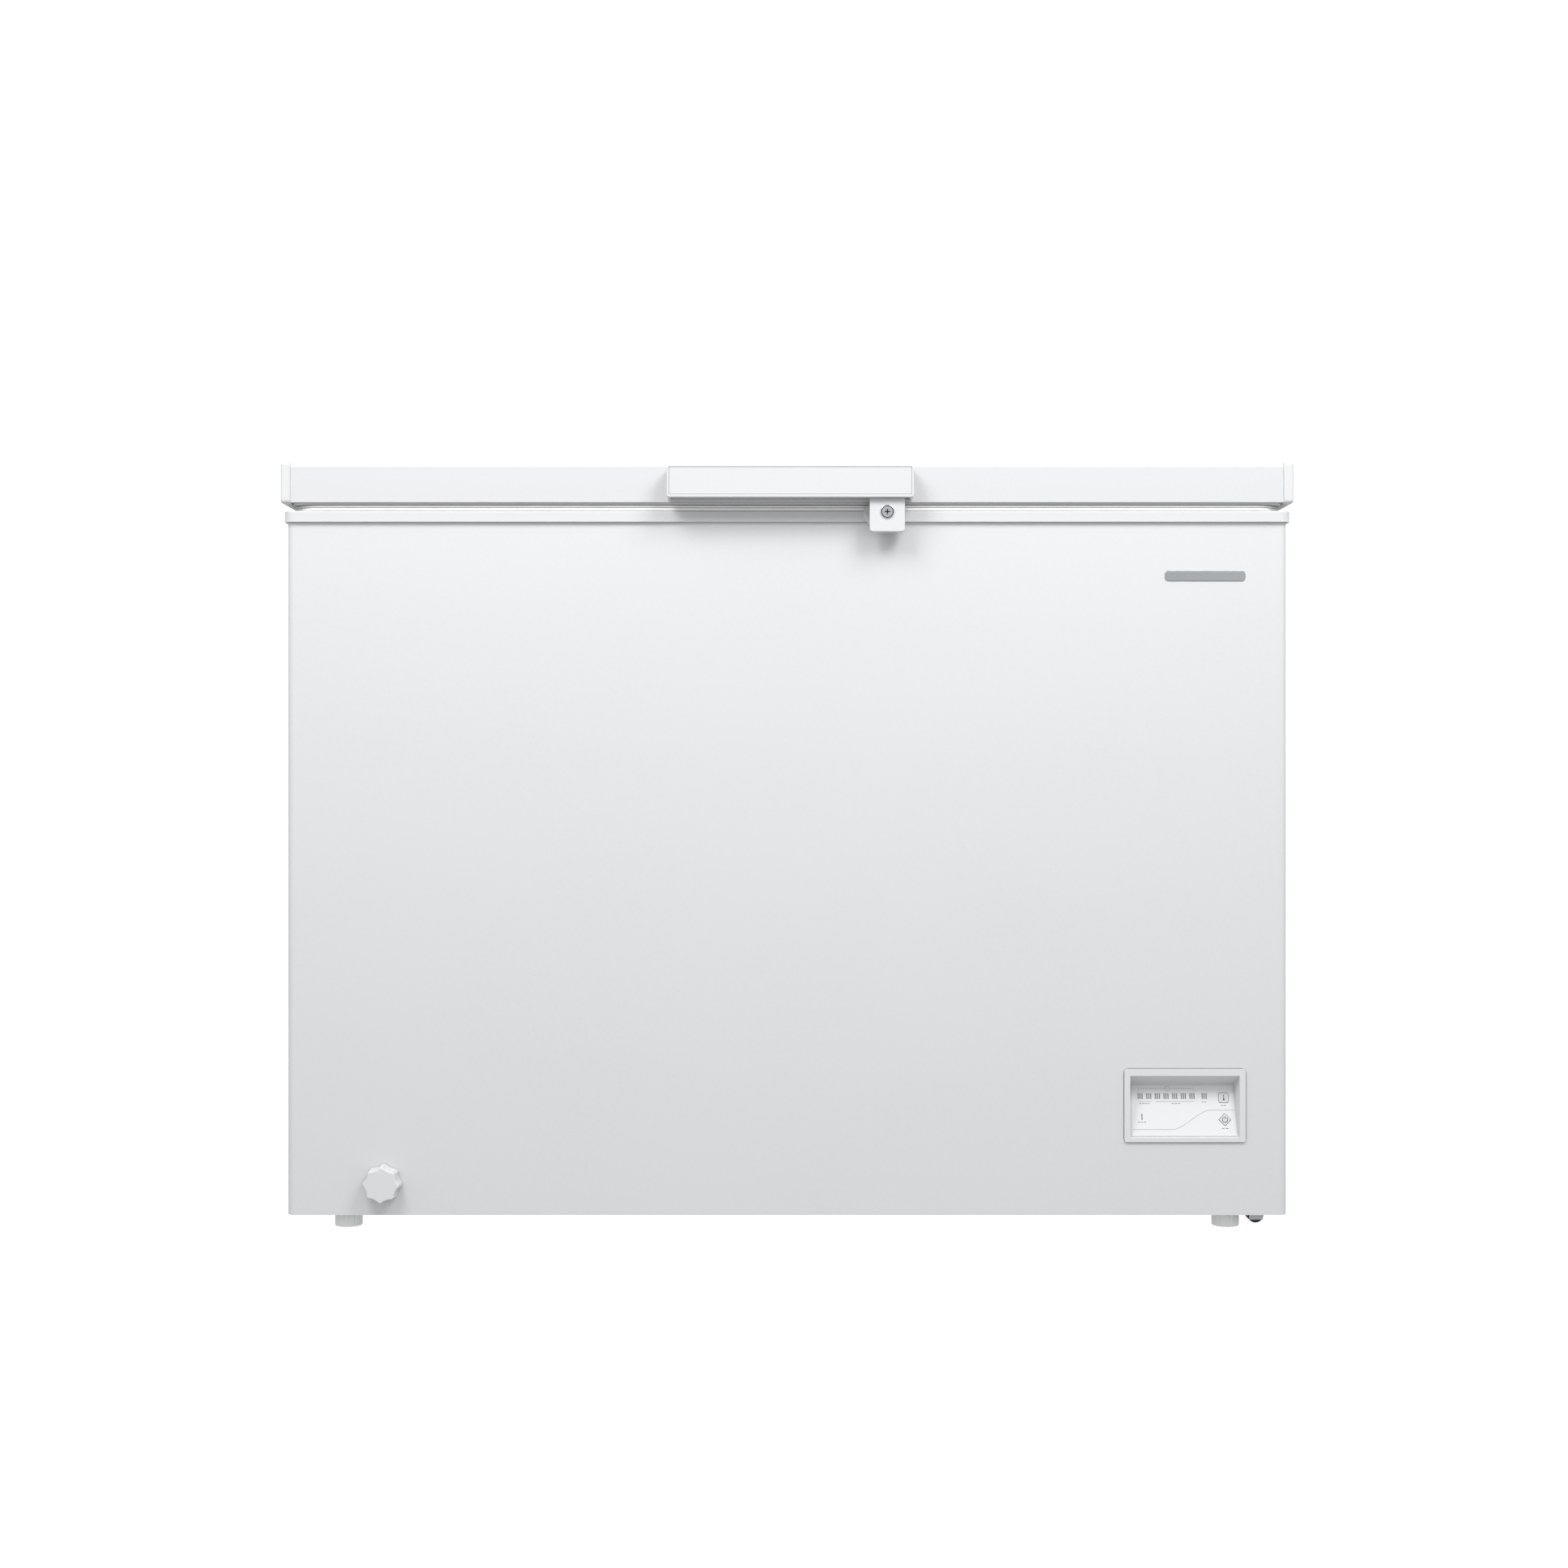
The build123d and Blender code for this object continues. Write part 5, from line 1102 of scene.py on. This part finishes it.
@dataclass
class Basket:
    """Bent and welded wire basket that hangs on the collar's ledges."""

    wire: float = 1.6 * MM
    rim: float = 3.0 * MM
    bend: float = 16 * MM
    across: int = 9
    along: int = 11
    hanger_overhang: float = 23.35 * MM
    edge_across: float = 8 * MM
    edge_along: float = 14 * MM
    bands: tuple[float, float] = (70 * MM, 135 * MM)

    def build(self) -> None:
        """Builds the basket from its rim, hangers and wires."""
        low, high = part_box("wire_basket")
        x0, x1 = low.x, high.x
        y0, y1 = low.y + self.hanger_overhang, high.y - self.hanger_overhang
        near, far = x0 + self.rim, x1 - self.rim
        floor = low.z + self.wire
        rim_z = high.z - 3 * self.rim
        hang_z = high.z - self.rim
        corners = [(near, y0, rim_z), (far, y0, rim_z), (far, y1, rim_z), (near, y1, rim_z)]
        rim: list[Run] = [(corners, True)]
        for x in (near, far):
            rim.append(([(x, low.y, hang_z), (x, high.y, hang_z)], False))
        frame_mesh = wires("basket_frame", rim, self.rim, self.bend, WIRE_COAT)
        settle("basket_frame", frame_mesh, WIRE_COAT, "basket", ["wire_basket"])
        runs: list[Run] = []
        for i in range(self.across):
            x = x0 + self.edge_across + i * (x1 - x0 - 2 * self.edge_across) / (self.across - 1)
            runs.append(([(x, y0, rim_z), (x, y0, floor), (x, y1, floor), (x, y1, rim_z)], False))
        bed = floor + 2 * self.wire
        for i in range(self.along):
            y = y0 + self.edge_along + i * (y1 - y0 - 2 * self.edge_along) / (self.along - 1)
            runs.append(([(near, y, rim_z), (near, y, bed), (far, y, bed), (far, y, rim_z)], False))
        inset = 2 * self.wire
        u0, u1, v0, v1 = near + inset, far - inset, y0 + inset, y1 - inset
        for height in self.bands:
            z = low.z + height
            runs.append(([(u0, v0, z), (u1, v0, z), (u1, v1, z), (u0, v1, z)], True))
        mesh = wires("basket_wires", runs, self.wire, self.bend, WIRE_COAT)
        settle("basket_wires", mesh, WIRE_COAT, "basket", ["wire_basket"])


@dataclass
class Studio:
    """Pale floor and dome, soft lights and the camera, in metres, watts and millimetres of lens."""

    distance: float = 2.747
    height: float = 0.494
    sideways: float = -0.0034
    lens: float = 51.0
    sensor: float = 36.0
    farthest: float = 60.0
    floor_tone: str = "F8F8F8"
    glow: float = 1.05
    room: float = 14.0
    # Strength of the air's light straight below and straight above
    sky: tuple[float, float] = (0.54, 0.90)
    # Each softbox: name, place, target, side and power
    boxes: tuple[tuple, ...] = (
        ("left_box", (-0.8, -1.45, 2.0), (-0.3, -0.3, 0.6), 0.8, 22),
        ("right_box", (0.9, -1.45, 2.0), (0.3, -0.3, 0.6), 0.8, 24),
        ("back_box", (0.0, 2.4, 1.2), (0.0, 0.3, 0.4), 1.2, 12),
    )

    def build(self) -> None:
        """Sets the whole studio up."""
        self.floor()
        self.lights()
        self.camera()
        bpy.context.scene.view_settings.view_transform = "Standard"

    def floor(self) -> None:
        """Lays a plain pale floor under a pale dome, which glow for the camera and light nothing."""
        form = bmesh.new()
        bmesh.ops.create_circle(form, cap_ends=True, radius=self.room, segments=64)
        self.paper("studio_floor", form)
        form = bmesh.new()
        bmesh.ops.create_uvsphere(form, u_segments=48, v_segments=24, radius=self.room)
        bmesh.ops.reverse_faces(form, faces=form.faces)
        self.paper("studio_dome", form)

    def paper(self, name: str, form: bmesh.types.BMesh) -> None:
        """Turns a form to glowing paper that only the camera sees.

        Args:
            name: the stage object's name.
            form: its shape, which is freed.
        """
        mesh = bpy.data.meshes.new(name)
        form.to_mesh(mesh)
        form.free()
        paper = Finish(
            "studio_paper", self.floor_tone, "F6F6F6", (0.85, 0.9), Grain.PEEL, 40.0, 0.01, glow=self.glow
        )
        mesh.materials.append(paper.build())
        thing = add_object(name, mesh)
        thing.visible_diffuse = thing.visible_glossy = thing.visible_shadow = False
        thing.visible_transmission = False

    def lamp(
        self, name: str, place: Sequence[float], target: Sequence[float], size: float, power: float
    ) -> None:
        """Hangs one square softbox.

        Args:
            name: the lamp's name.
            place: where it hangs.
            target: what it points at.
            size: the length of its side.
            power: its power in watts.
        """
        light = bpy.data.lights.new(name, "AREA")
        light.shape = "SQUARE"
        light.size = size
        light.energy = power
        thing = bpy.data.objects.new(name, light)
        bpy.context.scene.collection.objects.link(thing)
        thing.location = place
        thing.rotation_euler = (Vector(target) - Vector(place)).to_track_quat("-Z", "Y").to_euler()

    def lights(self) -> None:
        """Fills the air with light that is brighter above, and hangs three softboxes."""
        world = bpy.data.worlds.new("studio_air")
        world.use_nodes = True
        tree = world.node_tree
        way = put(tree, "ShaderNodeTexCoord").outputs["Generated"]
        height = put(tree, "ShaderNodeSeparateXYZ", {0: way}).outputs["Z"]
        share = put(
            tree,
            "ShaderNodeMapRange",
            {"Value": height, "From Min": -1.0, "To Min": self.sky[0], "To Max": self.sky[1]},
        ).outputs[0]
        tree.links.new(share, tree.nodes["Background"].inputs["Strength"])
        tree.nodes["Background"].inputs["Color"].default_value = (1.0, 1.0, 1.0, 1.0)
        bpy.context.scene.world = world
        for box in self.boxes:
            self.lamp(*box)

    def camera(self) -> None:
        """Looks level at the front."""
        lens = bpy.data.cameras.new("view")
        lens.sensor_width = self.sensor
        lens.lens = self.lens
        lens.clip_end = self.farthest
        thing = bpy.data.objects.new("view", lens)
        bpy.context.scene.collection.objects.link(thing)
        thing.location = (self.sideways, -self.distance, self.height)
        thing.rotation_euler = (math.pi / 2, 0.0, 0.0)
        bpy.context.scene.camera = thing


def main() -> None:
    """Builds every sub-assembly in order."""
    logging.basicConfig(level=logging.INFO, format="%(message)s")
    Studio().build()
    parts: list[Callable[[], Any]] = [
        Cabinet, Lid, Lock, ControlPanel, Drain, Base, MachineRoom, Hinges, Basket
    ]
    for part in parts:
        part().build()


if __name__ == "__main__":
    main()
